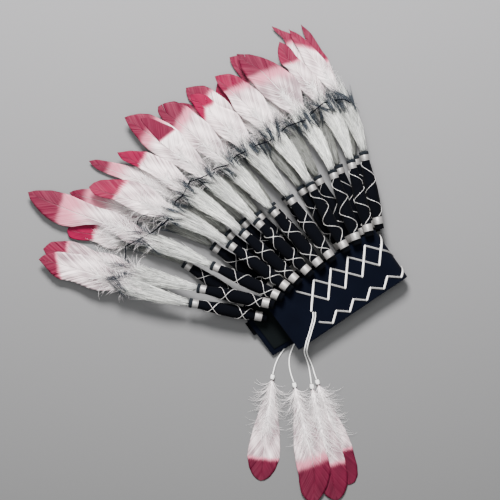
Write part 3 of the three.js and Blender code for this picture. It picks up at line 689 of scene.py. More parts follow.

# %% [markdown]
# ## Silver thread round the sleeves
# Two threads wind up each sleeve in opposite directions, so they cross again and again. On the
# sleeves at the right they cross at the side and show as zigzags, on the others as an X on top.
# A thread is a thin rod whose points lie on the sleeve's own outline, a little outside the felt.

# %% Criss-cross threads
THREAD_RADIUS, THREAD_POINTS, THREAD_SIDES = 0.22, 100, 5


def crossing_threads(node, axis, turns, crossing, facing, bright):
    """Two threads that cross at one share of the body, on the side that facing names."""
    start, direction, _ = axis
    side = unit(np.cross(direction, UP))
    over = np.cross(side, direction)
    share = np.linspace(0, 1, THREAD_POINTS)
    reach = BODY_START + 0.6 + share * (BODY - 1.2)
    paths = []
    for hand in (1, -1):
        wobble = 0.25 * np.sin(share * 9 + crossing * 40 + hand)
        angle = facing + hand * (2 * np.pi * turns * (share - crossing) + wobble)
        radius = sleeve_radius(reach) + 0.3 + (THREAD_RADIUS if hand > 0 else 0.0)
        paths.append(start + direction * reach[:, None]
                     + (side * np.cos(angle)[:, None] + over * np.sin(angle)[:, None]) * radius[:, None])
    piece = rods(f"silver_thread_{node}", paths, THREAD_RADIUS, 0.8, THREAD_SIDES)
    uv = piece.data.uv_layers.new(name="along")
    points = np.tile(np.repeat(share, THREAD_SIDES), 2) * BODY * MM
    corners = np.array([loop.vertex_index for loop in piece.data.loops])
    uv.data.foreach_set("uv", np.stack([corners % THREAD_SIDES * 0.0004, points[corners]], -1).ravel())
    paint(piece, "bright", bright)
    return dress(piece, thread_silver, "silver_ribbon")


# Threads on the back row are painted darker, as painted shade.
for node, axis in axes.items():
    facing = luck.normal(0.0, 0.15) if node[-1] in "abcd" else luck.normal(np.pi / 2, 0.2)
    crossing_threads(node, axis, luck.uniform(1.8, 2.05), luck.uniform(0.62, 0.74), facing,
                     0.95 if node.startswith("sleeve") else 0.4)
print("threads made")

# %% [markdown]
# ## The spike tables
# The first tables repeat the CAD's numbers for each feather, so the dressed feather lies in the
# solid's place: turn and bend of its line, its reach, width, tip height and roll. The other table
# is for looks alone. No two feathers are trimmed, dyed or parted alike, and those small
# differences make the fan look real.

# %% Rows of the front and the back, as in the part's source
COLUMNS = ("turn", "bend", "reach", "width", "tip", "roll")
FRONT_ROW = {
    "a": (-18.5, -6, 1.02, 0.9, 0.5, 1), "b": (-17, -6, 0.96, 0.85, 0.56, 1),
    "c": (-17.9, -6, 1.05, 1.1, 0.78, 1), "d": (-12.5, -5, 0.99, 1.05, 0.68, 1),
    "e": (-9.6, -4, 0.98, 1, 0.8, 1), "f": (-7.3, -4, 1.06, 1, 0.7, 1),
    "g": (-6.5, -4, 1.16, 1.05, 0.72, 1), "h": (-9.3, -4, 1.02, 1, 0.62, 1),
    "i": (-14.4, -4, 1.04, 1, 0.95, -0.5), "j": (-3, 4, 1.38, 1.15, 0.5, 0.3),
    "k": (2.3, -2, 1.11, 1, 0.5, 1), "l": (5, -4, 1.09, 1, 0.62, 1),
}
BACK_ROW = {
    "b": (-5.7, -3, 1.01, 0.8, 0.24, 1), "c": (-4.7, -3, 1.09, 0.66, 0.22, 1),
    "d": (-7.7, -4, 1.03, 1, 0.24, 1), "e": (-4.4, -2, 0.93, 1, 0.22, 1),
    "f": (-4.9, -2, 1.02, 1, 0.24, 1), "g": (-4, -2, 0.96, 0.86, 0.24, 1),
    "h": (-2.9, -2, 0.93, 0.9, 0.24, 1), "i": (-2.6, -2, 0.96, 0.95, 0.24, 1),
    "j": (-14, -5, 1.08, 1, 0.24, 1), "k": (-14.5, -5, 1.06, 0.95, 0.22, 1),
    "l": (-17.7, -6, 0.84, 0.95, 0.24, 1),
}


# %% How each feather is trimmed, dyed and parted
def look(left=(), right=(), halves=(0.7, 1.15), skew=0, dyed=32, slant=0, soft=3, fade=0, tone=0.3,
         notch=0, ripple=0, splits=(), bow=0, extend=2.5, grey=0.1):
    """All lengths are in mm, and distances are from the tip back along the quill.

    left and right are (distance, half width) pairs of the edges at the tip. halves shares the
    rest of the vane between the two sides. skew is how far the tip leans right, and bow how far
    the quill swings right behind it. The dye ends at dyed, plus slant on the right and less
    notch at the quill, over soft, with a paler wash over fade. tone is 0 for bright red and 1
    for dull rose. ripple is how deep the barbs' furrows are, and how much painted shade lies in
    them. splits holds a share of the vane, a side and an angle for each. extend is how far the
    vane passes the CAD line's end, and grey how much painted shade lies over the whole vane.
    """
    return locals()


LOOKS = {
    "a": look([(3.7, 0.5), (6.6, 2.5), (19, 6.5)], [(3.7, 1), (8, 3.7), (15.2, 6), (24.5, 6.8), (33, 7.2)],
              (0.7, 0.55), -3, 30, 26, 12, tone=0.45, extend=0, grey=0.05),
    "b": look([(1.3, 4.7), (5.5, 8), (12.8, 10), (20, 10.3), (27, 8)],
              [(2.5, 3.4), (8.3, 7.5), (15.8, 9.8), (23, 9.5), (40, 12)], bow=-4, dyed=26, slant=7,
              tone=0.4, grey=0.3),
    "c": look([(3.5, 2), (12.7, 10), (26.3, 17)],
              [(3, 5), (7.8, 9.5), (19.5, 14), (31.3, 16.7), (44, 20.3), (62, 24)],
              (0.9, 1.1), -8, 37, 9, 12, 22, 0.75, splits=[(0.86, 1, 3)], grey=0.32),
    "d": look([(3.4, 3.1), (10.9, 5.8), (19.8, 6.8)], [(0.6, 5.4), (8, 14.6), (17.4, 18.7), (29.3, 20.1)],
              skew=-1, dyed=22, slant=9, soft=6, fade=12, grey=0.12),
    "e": look([(1.1, 3.3), (11.9, 8.1), (24.5, 11.3)], [(3, 7.2), (11.3, 12.4), (20.7, 12.7), (27.4, 13)],
              dyed=27, slant=-6, soft=2.5, tone=0, notch=7, splits=[(0.86, -1, 12)], grey=0.0),
    "f": look([(1, 5), (3.4, 6.6), (10.4, 8.7), (23.2, 9.3)],
              [(0.7, 7.9), (8.4, 17.2), (23.5, 22), (38.5, 21.4)],
              dyed=29, slant=-2, soft=11, fade=16, tone=0.75, splits=[(0.93, 1, 5)], grey=0.18),
    "g": look([(1.4, 2.6), (8.4, 6.5), (18.1, 10), (29.6, 13.8), (40.4, 16)],
              [(0.8, 4.9), (10.1, 14.3), (20.3, 20.6), (28.2, 21.8), (42.6, 24)],
              dyed=33, soft=18, fade=20, tone=0.65, grey=0.06),
    "h": look([(1, 2.4), (7, 5.3), (17, 4.5), (28, 4), (42, 3.5), (60, 5)],
              [(0.8, 2.2), (10, 9.3), (27.4, 17.3), (45.2, 19.6)], dyed=28.5, tone=0.05, ripple=0.5,
              grey=0.0),
    "i": look([(1.2, 3.5), (6.5, 6.8), (14.3, 7.2), (29.3, 5.5), (46, 9.1), (63, 12.7)],
              [(1.2, 6.9), (8.2, 12.4), (22.2, 17.7), (38.4, 22.3), (55.6, 23.1)],
              dyed=31, slant=6.5, tone=0.32, ripple=0.25),
    "j": look([(3.1, 6.4), (13.8, 12.5), (23.8, 17.1), (37.1, 20.5), (48.9, 20.6), (59.9, 18.2),
               (72.6, 10.1), (88.4, 4), (105, 6)],
              [(5.2, 6.2), (22.4, 13.9), (33.8, 16.1), (45.7, 17.4), (82.9, 15.7)],
              (1, 1), 0, 42, -2, 8, 52, 0.7, grey=0.3),
    "k": look([], [(1, 5.5), (5.3, 10.8), (21.3, 15.4), (30.5, 16.8), (42.1, 15.8), (59.3, 12)],
              (1, 1), 0, 26, -1.5, tone=0.42, ripple=0.7, grey=0.22),
    "l": look([(4.5, 5.4), (16.5, 14.4), (26.4, 17.9), (42.7, 16), (63.4, 17.5)],
              [(2, 6), (10.3, 10.7), (17, 14), (27.9, 16)], (1, 1), 0, 21, -8.6, tone=0.6, ripple=0.5),
    "back_b": look([(3, 0.6), (7.3, 1.4), (25.5, 2.5)],
                   [(3, 1), (8.8, 4), (15.3, 6.5), (26.4, 8.2), (38.9, 9.7), (50.5, 12.5), (77, 11.4)],
                   (1, 1), dyed=54, soft=8, tone=0.5, extend=0, grey=0.3),
    "back_c": look([(2, 0.6), (10.7, 1.6), (26, 2.5), (60, 4)], [(2, 1), (5, 3.5), (10.8, 5), (17.9, 8.4)],
                   (0.6, 1.2), -1.5, 29, soft=7, tone=0.4, bow=6.5, extend=0, grey=0.25),
    "back_d": look([(3, 3), (11.7, 4.6), (22.8, 5)], [(1.3, 7.3), (3.4, 13.4)], dyed=36, soft=5, tone=0.7),
    "back_f": look([(2, 4), (10, 8)], [(2.7, 8.1), (10.1, 17), (19, 20)], skew=-2, dyed=22, soft=5,
                   tone=0.7),
    "back_g": look([(1, 6), (9, 12)], [(0.7, 6), (9, 12)], dyed=20, soft=12, fade=16, tone=0.8, grey=0.2),
    "back_i": look([(5.4, 7.4), (26.2, 10.4)], [(-0.4, 6), (14.9, 9), (30.9, 16)], (0.7, 1.2), 5.5, 29, 3.8,
                   tone=0.55, bow=9, extend=8.5),
    "back_j": look([(3, 3.5), (11.2, 6), (25.4, 6), (39.9, 5.5)], [(5.3, 5.3), (19.6, 8.4), (40, 12)],
                   dyed=26, soft=16, fade=30, tone=0.75),
    "back_k": look([(4, 5), (14, 10)], [(1.7, 4), (10.2, 8.2), (19.2, 10.9)], (1, 1), dyed=22,
                   soft=22, fade=40, tone=0.8, grey=0.35),
    "back_l": look([(0.5, 7.5), (4, 9), (13, 9.5), (27.2, 8)], [(0.7, 9), (5, 13)], (1, 1), 0, 30, 3,
                   2.5, tone=0),
}
spikes = {}
for prefix, row in (("", FRONT_ROW), ("back_", BACK_ROW)):
    for name, numbers in row.items():
        spikes[f"{prefix}plume_feather_{name}"] = dict(
            zip(COLUMNS, numbers), sleeve=f"{prefix}sleeve_{name}", **LOOKS.get(prefix + name, look()))
print(len(spikes), "spikes")

# %% The line that each plume and feather follows
PLUME_LENGTH, PLUME_WIDTH, PLUME_DEPTH = 79.0, 21.0, 12.0
FEATHER_REACH, FEATHER_WIDTH, ROOT_OVERLAP = 170.0, 42.0, 22.0
SHINGLE_ROLL, STACK_HEIGHT, FIT_GAP = 8.0, 24.0, 0.3


def feather_line(spike):
    start, direction, length = axes[spike["sleeve"]]
    root = start + direction * (length + FIT_GAP)
    lean = math.degrees(math.atan2(direction[0], direction[1]))
    chord, end = math.radians(lean + spike["turn"]), math.radians(lean + spike["turn"] + spike["bend"])
    reach = spike["reach"] * FEATHER_REACH
    tip = root + reach * np.array([math.sin(chord), math.cos(chord), 0])
    tip[2] = spike["tip"] * STACK_HEIGHT + ORIGIN[2]
    near_root = root + direction * reach / 3
    near_tip = tip - reach / 3 * np.array([math.sin(end), math.cos(end), 0])
    near_tip[2] = tip[2] + 0.25 * (near_root[2] - tip[2])
    t = np.linspace(0, 1, 200)[:, None]
    curve = ((1 - t) ** 3 * root + 3 * (1 - t) ** 2 * t * near_root + 3 * (1 - t) * t ** 2 * near_tip
             + t ** 3 * tip)
    beyond = curve[-1] + unit(curve[-1] - curve[-2]) * np.array([[0.4], [1.0]]) * spike["extend"]
    return Line(np.vstack([curve, beyond]) if spike["extend"] else curve), reach


for node, spike in spikes.items():
    spike["line"], spike["reach_mm"] = feather_line(spike)
low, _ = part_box("plume_feather_j")
tip = spikes["plume_feather_j"]["line"].points[-1]
print("feather j ends at", tip.round(1), "in a CAD box from", [round(x / MM, 1) for x in low])

# %% [markdown]
# ## Goose feathers
# A feather is a quill with two rows of barbs that hook together into a vane. Here every barb runs
# slantwise from the quill to the edge, and the vane's outline is where the barbs end, so splits
# open along the barbs as they do on a real feather. Each side is a few grid panels, one between
# each pair of splits. The dye is painted by how far a point is from the tip.


# %% Outline, lean and dye of a vane, by distance from the tip
USUAL_EDGE = [(1.5, 5.0), (6, 10.5), (15, 16.0), (28, 19.5)]
REST_OF_VANE = [0, 0.12, 0.3, 0.5, 0.66, 1], [0.1, 0.25, 0.6, 0.9, 1, 1]
SMOOTHING = (-1.6, -0.8, 0, 0.8, 1.6)


def soft_step(value):
    value = np.clip(value, 0, 1)
    return value * value * (3 - 2 * value)


def half_width(distance, side, width, length, spike):
    """Half width of the vane on one side, in mm, where the barbs end."""
    traced = list(spike["left"] if side < 0 else spike["right"]) or USUAL_EDGE
    marks, widths = zip((0, 0), *((far + spike["extend"], wide) for far, wide in traced))
    plain = width / 2 * spike["halves"][side > 0]
    total = 0
    for offset in SMOOTHING:
        place = np.maximum(distance + offset * np.minimum(1, distance / 6), 0)
        rise = np.interp(1 - place / length, *REST_OF_VANE)
        edge = np.interp(place, marks, widths)
        blend = soft_step((place - spike["extend"] - traced[-1][0]) / 30)
        total = total + edge * (1 - blend) + plain * rise * blend
    return total / len(SMOOTHING)


def lean_of(distance, spike):
    return (spike["skew"] * (1 - soft_step(distance / 40))
            + spike["bow"] * soft_step(distance / 22) * (1 - soft_step((distance - 60) / 50)))


def dye_of(distance, across, spike):
    near = np.clip(1 - np.abs(across) / 8, 0, 1)
    edge = spike["dyed"] + spike["extend"] + spike["slant"] * across / 20 - spike["notch"] * near
    edge = edge + 0.5 * np.sin(across * 0.45 + spike["dyed"])
    dye = soft_step((edge - distance) / (spike["soft"] + 2) + 0.5)
    if spike["fade"]:
        dye = np.maximum(dye, 0.55 * (1 - soft_step((distance - edge) / spike["fade"])))
    return np.maximum(dye, 0.07 * (1 - soft_step((distance - edge) / 60)))


# %% Vane panels between splits
VANE_THICKNESS, BARB_ROW, FURROWS = 0.22, 1.45, 0.95


def tip_spaced(share):
    """Moves rows towards the tip, where the outline turns quickly."""
    return 1 - (1 - share) ** 1.5


def feather_vane(name, line, root, width, roll, relief, spike, length):
    """The vane's panels as one mesh, with its dye and its painted shade painted on."""
    form = painted_form("dye", "tone", "fold")
    vane_length = (1 - root) * length
    wave = luck.uniform(0, 6.28, 4)
    for side in (-1, 1):
        own = [(place, angle) for place, way, angle in spike["splits"] if way == side]
        own += [(place, luck.uniform(0.05, 0.35)) for place in np.sort(luck.uniform(0.25, 0.8, 2))]
        cuts = sorted({0.0, 1.0, *(round(place, 3) for place, _ in own)})
        for low, high in zip(cuts, cuts[1:]):
            made, out, up = grid(form, 9, max(3, int((high - low) * vane_length / BARB_ROW)))
            end = tip_spaced(low + (high - low) * up)
            half = half_width((1 - end) * vane_length, side, width, vane_length, spike)
            back = np.minimum(1.8 * half / vane_length, end * 0.9)
            turn = np.zeros(len(made))
            for place, angle in own:
                above = (low + high) / 2 > place
                distance = np.abs(end - tip_spaced(place)) * vane_length
                turn += (0.5 if above else -0.5) * np.radians(angle) * np.exp(-distance / 7)
            forward = back * out ** 0.9 * vane_length
            across = half * out
            ahead = forward * np.cos(turn) + across * np.sin(turn)
            aside = across * np.cos(turn) - forward * np.sin(turn) * 0.5
            here = np.clip(end - back + ahead / vane_length, 0, 1)
            from_tip = (1 - here) * vane_length
            share = across / 20
            furrow = np.sin(end * vane_length * FURROWS + wave[3])
            lift = (0.1 + relief * (-0.55 * share ** 2 + 0.4 * np.sin(end * 13 + wave[0] + side) * share
                                    + 0.14 * np.sin(end * 41 + wave[1]) * share
                                    + 0.25 * np.sin(here * 9 + wave[2]) * share ** 2)
                    + spike["ripple"] * furrow * share * soft_step(end * 3))
            sideways = side * aside + lean_of(from_tip, spike)
            points = line.beside(root + (1 - root) * here, sideways, lift, roll) * MM
            points[:, 2] = np.maximum(points[:, 2], 0.25 * MM)
            dye = dye_of(from_tip, side * across, spike)
            rim = np.exp(-((1 - out) * half / 0.9) ** 2)
            # Painted shade: a grey for the whole feather, slow waves, the furrows' valleys, a groove by the
            # quill, a dark rim along the dyed edges and more towards the root.
            fold = (0.1 + spike["grey"] + 0.16 * np.sin(here * 11 + wave[2] + side)
                    + 0.14 * np.sin(across * 0.4 + here * 17 + wave[0])
                    + 0.9 * spike["ripple"] * (0.5 - 0.5 * furrow) * share + 0.14 * np.exp(-across ** 2)
                    + 0.35 * rim * (dye > 0.6) + 0.25 * soft_step((from_tip - 0.6 * vane_length) / 40))
            uv = np.stack([side * across, end * vane_length], -1) * MM
            faces = lay(form, made, points, uv, dye=dye, tone=spike["tone"], fold=fold)
            if side < 0:
                bmesh.ops.reverse_faces(form, faces=faces)
    piece = piece_from(form, name)
    thicken(piece, VANE_THICKNESS)
    return piece


VANE_RELIEF = 2.2
for node, spike in spikes.items():
    spike["root"] = (PLUME_LENGTH - ROOT_OVERLAP) / spike["reach_mm"]
    spike["rolled"] = spike["roll"] * SHINGLE_ROLL
    vane = feather_vane(f"vane_{node}", spike["line"], spike["root"], spike["width"] * FEATHER_WIDTH,
                        spike["rolled"], VANE_RELIEF, spike, spike["reach_mm"])
    spike["vane"] = dress(vane, goose_feather, "white_feather", [node])
print("vanes made")

# %% [markdown]
# In the photograph one more dark tip lies on the widest feather. It is the end of a feather from
# the row behind that has slipped through to the front, so it is laid on that vane by dropping
# each of its points until it meets the vane below.

# %% The tip that laps over feather g
# LAP gives the distance back from g's tip, then the near and the far edge, all in mm.
LAP = np.array([(14.3, 9.2, 9.8), (16, 8.4, 12), (22, 6.4, 16.2), (30, 4, 18.6), (38, 2, 20),
                (50, -0.8, 23), (62, -1, 22), (80, 3, 17)])
LAP_TONE, LAP_ABOVE, LAP_DYED = 0.85, 0.75, 48
spike = spikes["plume_feather_g"]
below = spike["vane"].data
tree = BVHTree.FromPolygons([vertex.co for vertex in below.vertices],
                            [face.vertices for face in below.polygons])
form = painted_form("dye", "tone", "fold")
made, out, up = grid(form, 14, 44)
distance = LAP[0, 0] + (LAP[-1, 0] - LAP[0, 0]) * up ** 1.3
near, far = (np.interp(distance, LAP[:, 0], LAP[:, column]) for column in (1, 2))
across = near + (far - near) * out
points = spike["line"].beside(1 - (distance + spike["extend"]) / spike["reach_mm"], across) * MM
for point, sunk in zip(points, soft_step((distance - 50) / 28)):
    hit = tree.ray_cast(Vector((*point[:2], 0.2)), Vector((0, 0, -1)))[0]
    point[2] = (hit.z if hit else point[2]) + (LAP_ABOVE - 1.1 * sunk) * MM
dye = soft_step((LAP_DYED + 0.3 * across - distance) / 4 + 0.5)
rim = np.minimum(out, 1 - out) * (far - near)
# Painted shade: a dark rim along the dyed edges, and slow waves.
fold = 0.12 + 0.3 * np.exp(-(rim / 0.8) ** 2) * (dye > 0.5) + 0.1 * np.sin(across * 0.6 + distance * 0.1)
uv = np.stack([across, 100 - distance - 0.9 * across], -1) * MM
lay(form, made, points, uv, dye=dye, tone=LAP_TONE, fold=fold)
bmesh.ops.recalc_face_normals(form, faces=form.faces)
lapping_tip = piece_from(form, "lapping_tip")
thicken(lapping_tip, VANE_THICKNESS)
dress(lapping_tip, goose_feather, "white_feather")
print("lapping tip laid")


# %% Quills and the down at the feather's root
def quill_of(name, line, root, roll, spike):
    share = np.linspace(root, 0.98, 30)
    from_tip = (1 - share) * line.length
    path = line.beside(share, lean_of(from_tip, spike), np.full(30, 0.25), roll)
    piece = rods(name, [path], taper(30, [0.7, 0.42, 0.12], 0.3), 0.95, sides=6, flat=0.8)
    paint(piece, "dye", np.repeat(dye_of(from_tip, np.zeros(30), spike), 6))
    return dress(piece, quill, "white_feather")


def down_of(name, line, start, end, roll, reach, count, height=0.0):
    """Loose, curling barbs on both sides of a line."""
    share = start + (end - start) * luck.uniform(0, 1, count) ** 1.2
    side = luck.choice([-1.0, 1.0], count)[:, None, None]
    at, along, right, over = line.frame(share, roll)
    length = (reach * luck.uniform(0.45, 1.15, count))[:, None, None]
    lean = luck.uniform(0.15, 0.8, count)[:, None, None]
    curl = luck.normal(0.05, 0.6, count)[:, None, None]
    t = np.linspace(0, 1, 6)[None, :, None]
    angle = lean + curl * t ** 1.5 * 1.4
    steps = np.diff(t, axis=1, prepend=0)
    aside = np.cumsum(steps * np.sin(angle), axis=1) * side
    ahead = np.cumsum(steps * np.cos(angle), axis=1)
    lift = (0.16 * t - 0.14 * t ** 2) * luck.uniform(-0.4, 2.4, count)[:, None, None]
    path = (at[:, None] + length * (right[:, None] * aside + along[:, None] * ahead + over[:, None] * lift)
            + height * UP)
    radius = taper(6, [0.26, 0.2, 0.06]) * luck.uniform(0.6, 1.25, (count, 1))
    return dress(rods(name, path, radius, luck.uniform(0.35, 1.15, count)), white_down, "white_feather")


DOWN_COUNT, DOWN_LIFT = 190, 0.9
DOWN_REACH = dict.fromkeys("abc", 16) | dict.fromkeys("defgh", 22) | dict.fromkeys("ijkl", 27)
for node, spike in spikes.items():
    line, root, roll = spike["line"], spike["root"], spike["rolled"]
    quill_of(f"quill_{node}", line, root, roll, spike)
    down_of(f"down_{node}", line, root + 0.03, root + (1 - root) * 0.42, roll, DOWN_REACH[node[-1]],
            DOWN_COUNT, DOWN_LIFT)
print("quills and down made")

# %% [markdown]
# ## Fur plumes
# A plume is a tuft of long fur, bound at the sleeve's end and open at the far end. A small dull
# core keeps it from being see-through. Hundreds of hairs run along it, each a little outwards,
# and many turn blue-grey at their ends, as in the photograph.


# %% Inner body and hairs of a plume
SWELLING = [0, 0.16, 0.5, 0.86, 1]
HAIR_COUNT, HAIR_POINTS = 560, 5


def plume_size(share):
    """Half the plume's width and half its depth, at a share of its length."""
    return (np.interp(share, SWELLING, [0.4, 0.58, 0.86, 1.0, 0.9]) * PLUME_WIDTH / 2,
            np.interp(share, SWELLING, [0.62, 0.8, 0.95, 0.9, 0.6]) * PLUME_DEPTH / 2)


def plume_core(name, line, plume_share, finish):
    form = bmesh.new()
    bmesh.ops.create_uvsphere(form, u_segments=14, v_segments=12, radius=1)
    for vertex in form.verts:
        share = (vertex.co.z + 1) / 2
        angle = math.atan2(vertex.co.y, vertex.co.x)
        ring = min(1.0, 2.6 * math.hypot(vertex.co.x, vertex.co.y))
        wide, deep = plume_size(share)
        vertex.co = Vector(line.beside(share * 0.7 * plume_share, 0.66 * ring * wide * math.cos(angle),
                                       0.7 * ring * deep * math.sin(angle)) * MM)
    bmesh.ops.recalc_face_normals(form, faces=form.faces)
    piece = piece_from(form, name)
    # The core's dark tint is painted shade, standing for the shade deep inside the tuft.
    paint(piece, "tint", 0.26)
    return dress(piece, finish, "white_feather")


def plume_hairs(name, line, plume_share, count, bright, finish):
    share = luck.uniform(0, 0.9, count) ** 0.9
    angle = luck.uniform(0, 2 * np.pi, count)
    wide, deep = plume_size(share)
    depth = luck.uniform(0.55, 1.0, count)
    length = luck.uniform(18, 36, count) * np.interp(share, [0, 0.2, 1], [1.2, 1, 0.7])
    steps = np.linspace(0, 1, HAIR_POINTS)
    sway = luck.normal(0, 1, (count, 2))
    lock = np.sin(angle * 5 + luck.uniform(0, 6))
    paths = np.zeros((count, HAIR_POINTS, 3))
    for k, t in enumerate(steps):
        ahead = share * plume_share + t * length / line.length
        further = np.minimum(ahead / plume_share, 1.15)
        wide_there, deep_there = plume_size(further)
        grow = depth * (1 + 0.1 * t) + 0.06 * lock * further
        loose = 1.0 + 1.6 * np.maximum(further - 0.75, 0)
        across = (np.cos(angle) * ((1 - t) * wide + t * wide_there) * grow
                  + sway[:, 0] * 1.3 * loose * t ** 2)
        above = (np.sin(angle) * ((1 - t) * deep + t * deep_there) * grow
                 + sway[:, 1] * 0.6 * t ** 2)
        paths[:, k] = line.beside(np.minimum(ahead, 1), across, above)
    radius = taper(HAIR_POINTS, [0.3, 0.26, 0.05], 0.35) * luck.uniform(0.6, 1.15, (count, 1))
    greying = luck.uniform(0, 1, count) < np.interp(share, [0.35, 0.85], [0.04, 0.6])
    grey = greying * luck.uniform(0.6, 1.3, count)
    # Each hair's random tone times the plume's painted light, with greying hairs darker towards their ends.
    tint = luck.uniform(0.3, 1.3, (count, 1)) * bright - grey[:, None] * np.maximum(steps - 0.2, 0)[None]
    return dress(rods(name, paths, radius, tint), finish, "white_feather")


# Painted light on each front plume's hairs, strongest on c and d; the back row gets less, as painted shade,
# and uses the darker shaded_fur.
BRIGHT = {"a": 0.75, "b": 1.1, "c": 1.35, "d": 1.25, "e": 0.85, "f": 1.0, "g": 0.85, "h": 1.0, "i": 0.85,
          "j": 0.8, "k": 0.75, "l": 0.85}
BACK_BRIGHT = 0.55
for node, spike in spikes.items():
    plume_share = PLUME_LENGTH / spike["reach_mm"]
    front = node.startswith("plume")
    bright, finish = (BRIGHT[node[-1]], plume_fur) if front else (BACK_BRIGHT, shaded_fur)
    plume_core(f"plume_core_{node}", spike["line"], plume_share, finish)
    plume_hairs(f"plume_hair_{node}", spike["line"], plume_share, HAIR_COUNT, bright, finish)
print("plumes made")

# %% [markdown]
# ## Spacer thread and dark wisps
# One dark thread runs through all the plumes near their ends and keeps the fan spread. It shows
# only between the tufts. Tufts of dark blue-grey hair are tied in with it, most of them near the
# front of the fan.

# %% The thread and the dark hairs tied in with it
SHOWN = [[(-260.6, 199.9), (-253.3, 212.0)], [(-215.0, 209.0), (-194.4, 211.2)],
         [(-173.9, 225.2), (-163.5, 226.4)], [(-148.0, 235.8), (-127.8, 231.4)],
         [(-113.3, 232.9), (-98.4, 228.1)], [(-85.8, 232.1), (-73.6, 230.8)],
         [(-57.7, 229.7), (-41.1, 225.6)], [(-14.6, 229.2), (7.0, 224.0)],
         [(24.4, 227.5), (37.8, 229.2), (41.2, 228.1)], [(53.2, 223.9), (61.3, 219.9), (65.0, 211.9)]]
CURL = [(-228, 226), (-223.5, 230.3), (-216.9, 231.8), (-209.1, 228.3), (-201.4, 222.6), (-195.2, 216.6)]
THREAD_SHARE, THREAD_RISE, CURL_HEIGHT = 0.75, 9.5, 31.0
middles = np.array([spike["line"].at(THREAD_SHARE * PLUME_LENGTH / spike["reach_mm"])
                    for node, spike in spikes.items() if node.startswith("plume")])
middles = middles[np.argsort(middles[:, 0])]
print("plume heights at the thread", middles[:, 2].round(1))
corners = []
for k, shown in enumerate(SHOWN):
    if k:
        gap = np.array([SHOWN[k - 1][-1], shown[0]])
        corners += [(*(gap[0] + (gap[1] - gap[0]) * part), 0.0) for part in (0.15, 0.85)]
    corners += [(x, y, THREAD_RISE) for x, y in shown]
corners = np.array(corners) + [*ORIGIN[:2], 0]
corners[:, 2] += np.interp(corners[:, 0], middles[:, 0], middles[:, 2])
thread = Line(corners)
spacer_path = thread.at(np.linspace(0, 1, 240))
curl_path = smooth_line([(x + ORIGIN[0], y + ORIGIN[1], CURL_HEIGHT) for x, y in CURL], 240).points
spacer = rods("spacer_thread", [spacer_path, curl_path], [[0.78], [0.42]], 0.4, sides=6)
dress(spacer, spacer_cotton, "navy_felt")


def wisps_of(name, line, middle, count, reach):
    """Dark hairs in a few tufts that run with the plume, over its top and sides."""
    tuft = luck.integers(0, 4, count)
    around = np.array([0.35, 1.1, 2.0, 2.8])[tuft] + luck.normal(0, 0.16, count)
    share = middle + luck.normal(0, 0.012, count) + luck.normal(0, 0.02, 4)[tuft]
    _, along, right, over = line.frame(share)
    base = line.beside(share, np.cos(around) * PLUME_WIDTH / 2 * 0.95,
                       np.sin(around) * PLUME_DEPTH / 2 * 1.05)
    t = np.linspace(0, 1, 5)[None, :, None]
    length = reach * luck.uniform(0.35, 1.2, count)[:, None, None]
    fan = (luck.normal(0, 0.16, count) + luck.normal(0, 0.3, 4)[tuft])[:, None, None]
    path = base[:, None] + length * ((t - 0.45) * along[:, None] + fan * (t - 0.3) * right[:, None]
                                     + (0.06 * t ** 2 * over[:, None]))
    hairs = rods(name, path, taper(5, [0.1, 0.26, 0.05], 0.4), luck.uniform(-0.1, 1.1, count))
    return dress(hairs, wisp_hair, "white_feather")


WISPS, OTHER_WISPS, WISP_REACH = {"a": 130, "b": 130, "c": 120, "d": 110, "e": 90}, 64, 30
for node, spike in spikes.items():
    away = np.linalg.norm(spike["line"].points[:, None, :2] - spacer_path[None, :, :2], axis=-1).min(1)
    crossing = spike["line"].share[away.argmin()]
    dark = WISPS.get(node[-1], OTHER_WISPS)
    wisps_of(f"wisps_{node}", spike["line"], crossing, dark if node.startswith("plume") else dark // 2 + 20,
             WISP_REACH)
print("spacer thread", round(thread.length), "mm, and wisps made")

# %% [markdown]
# ## Drop feathers
# The four drops are the same goose feather, smaller and lying level, with a knot of white thread
# wound round the quill. They pile up in layers, so each keeps the height that the CAD gives it.

# %% Knots and drop feathers
DROPS = {
    1: dict(x=-155.9, y=-50.4, heading=20, reach=1.08, width=1.1, layer=1, dyed=44, soft=5, tone=0.92),
    2: dict(x=-147.4, y=-49.4, heading=14.6, reach=1, width=0.9, layer=0, dyed=42, tone=0.95,
            left=[(1, 6), (8, 12), (20, 15)], right=[(1, 6), (8, 12), (20, 14)]),
    3: dict(x=-189.8, y=-15.2, heading=39, reach=0.97, width=1, layer=0, dyed=27, tone=0.9),
    4: dict(x=-172.8, y=-37.6, heading=19.4, reach=1.1, width=1.1, layer=2, dyed=46, tone=0.9, skew=8,
            slant=-3, soft=8, fade=16),
}
DROP_LENGTH, DROP_WIDTH, DROP_CAMBER, LAYER_HEIGHT = 130.0, 36.0, 0.5, 1.8
KNOT_RADIUS, KNOT_LENGTH, KNOT_TURNS = 2.7, 6.0, 5.5
DROP_DOWN_COUNT, DROP_DOWN_REACH = 300, 29


def wound_knot(name, centre, way):
    """Thread wound round a quill: one long coil of a round yarn, over a core."""
    side = np.array([way[1], -way[0], 0])
    t = np.linspace(0, 1, 150)
    swell = (KNOT_RADIUS * (0.62 + 0.2 * np.sin(np.pi * t)))[:, None]
    angle = (2 * np.pi * KNOT_TURNS * t)[:, None]
    coil = (centre + way * ((t - 0.5) * (KNOT_LENGTH - 1.0))[:, None]
            + (side * np.cos(angle) + UP * np.sin(angle)) * swell)
    core = centre + way * ((t - 0.5) * (KNOT_LENGTH - 0.6))[:, None]
    radii = [np.full(150, 0.5), np.interp(t, [0, 0.1, 0.9, 1], [1.2, 1.9, 1.9, 1.0])]
    return dress(rods(name, [coil, core], radii, 0.9, sides=7), cord_cotton, "white_feather")


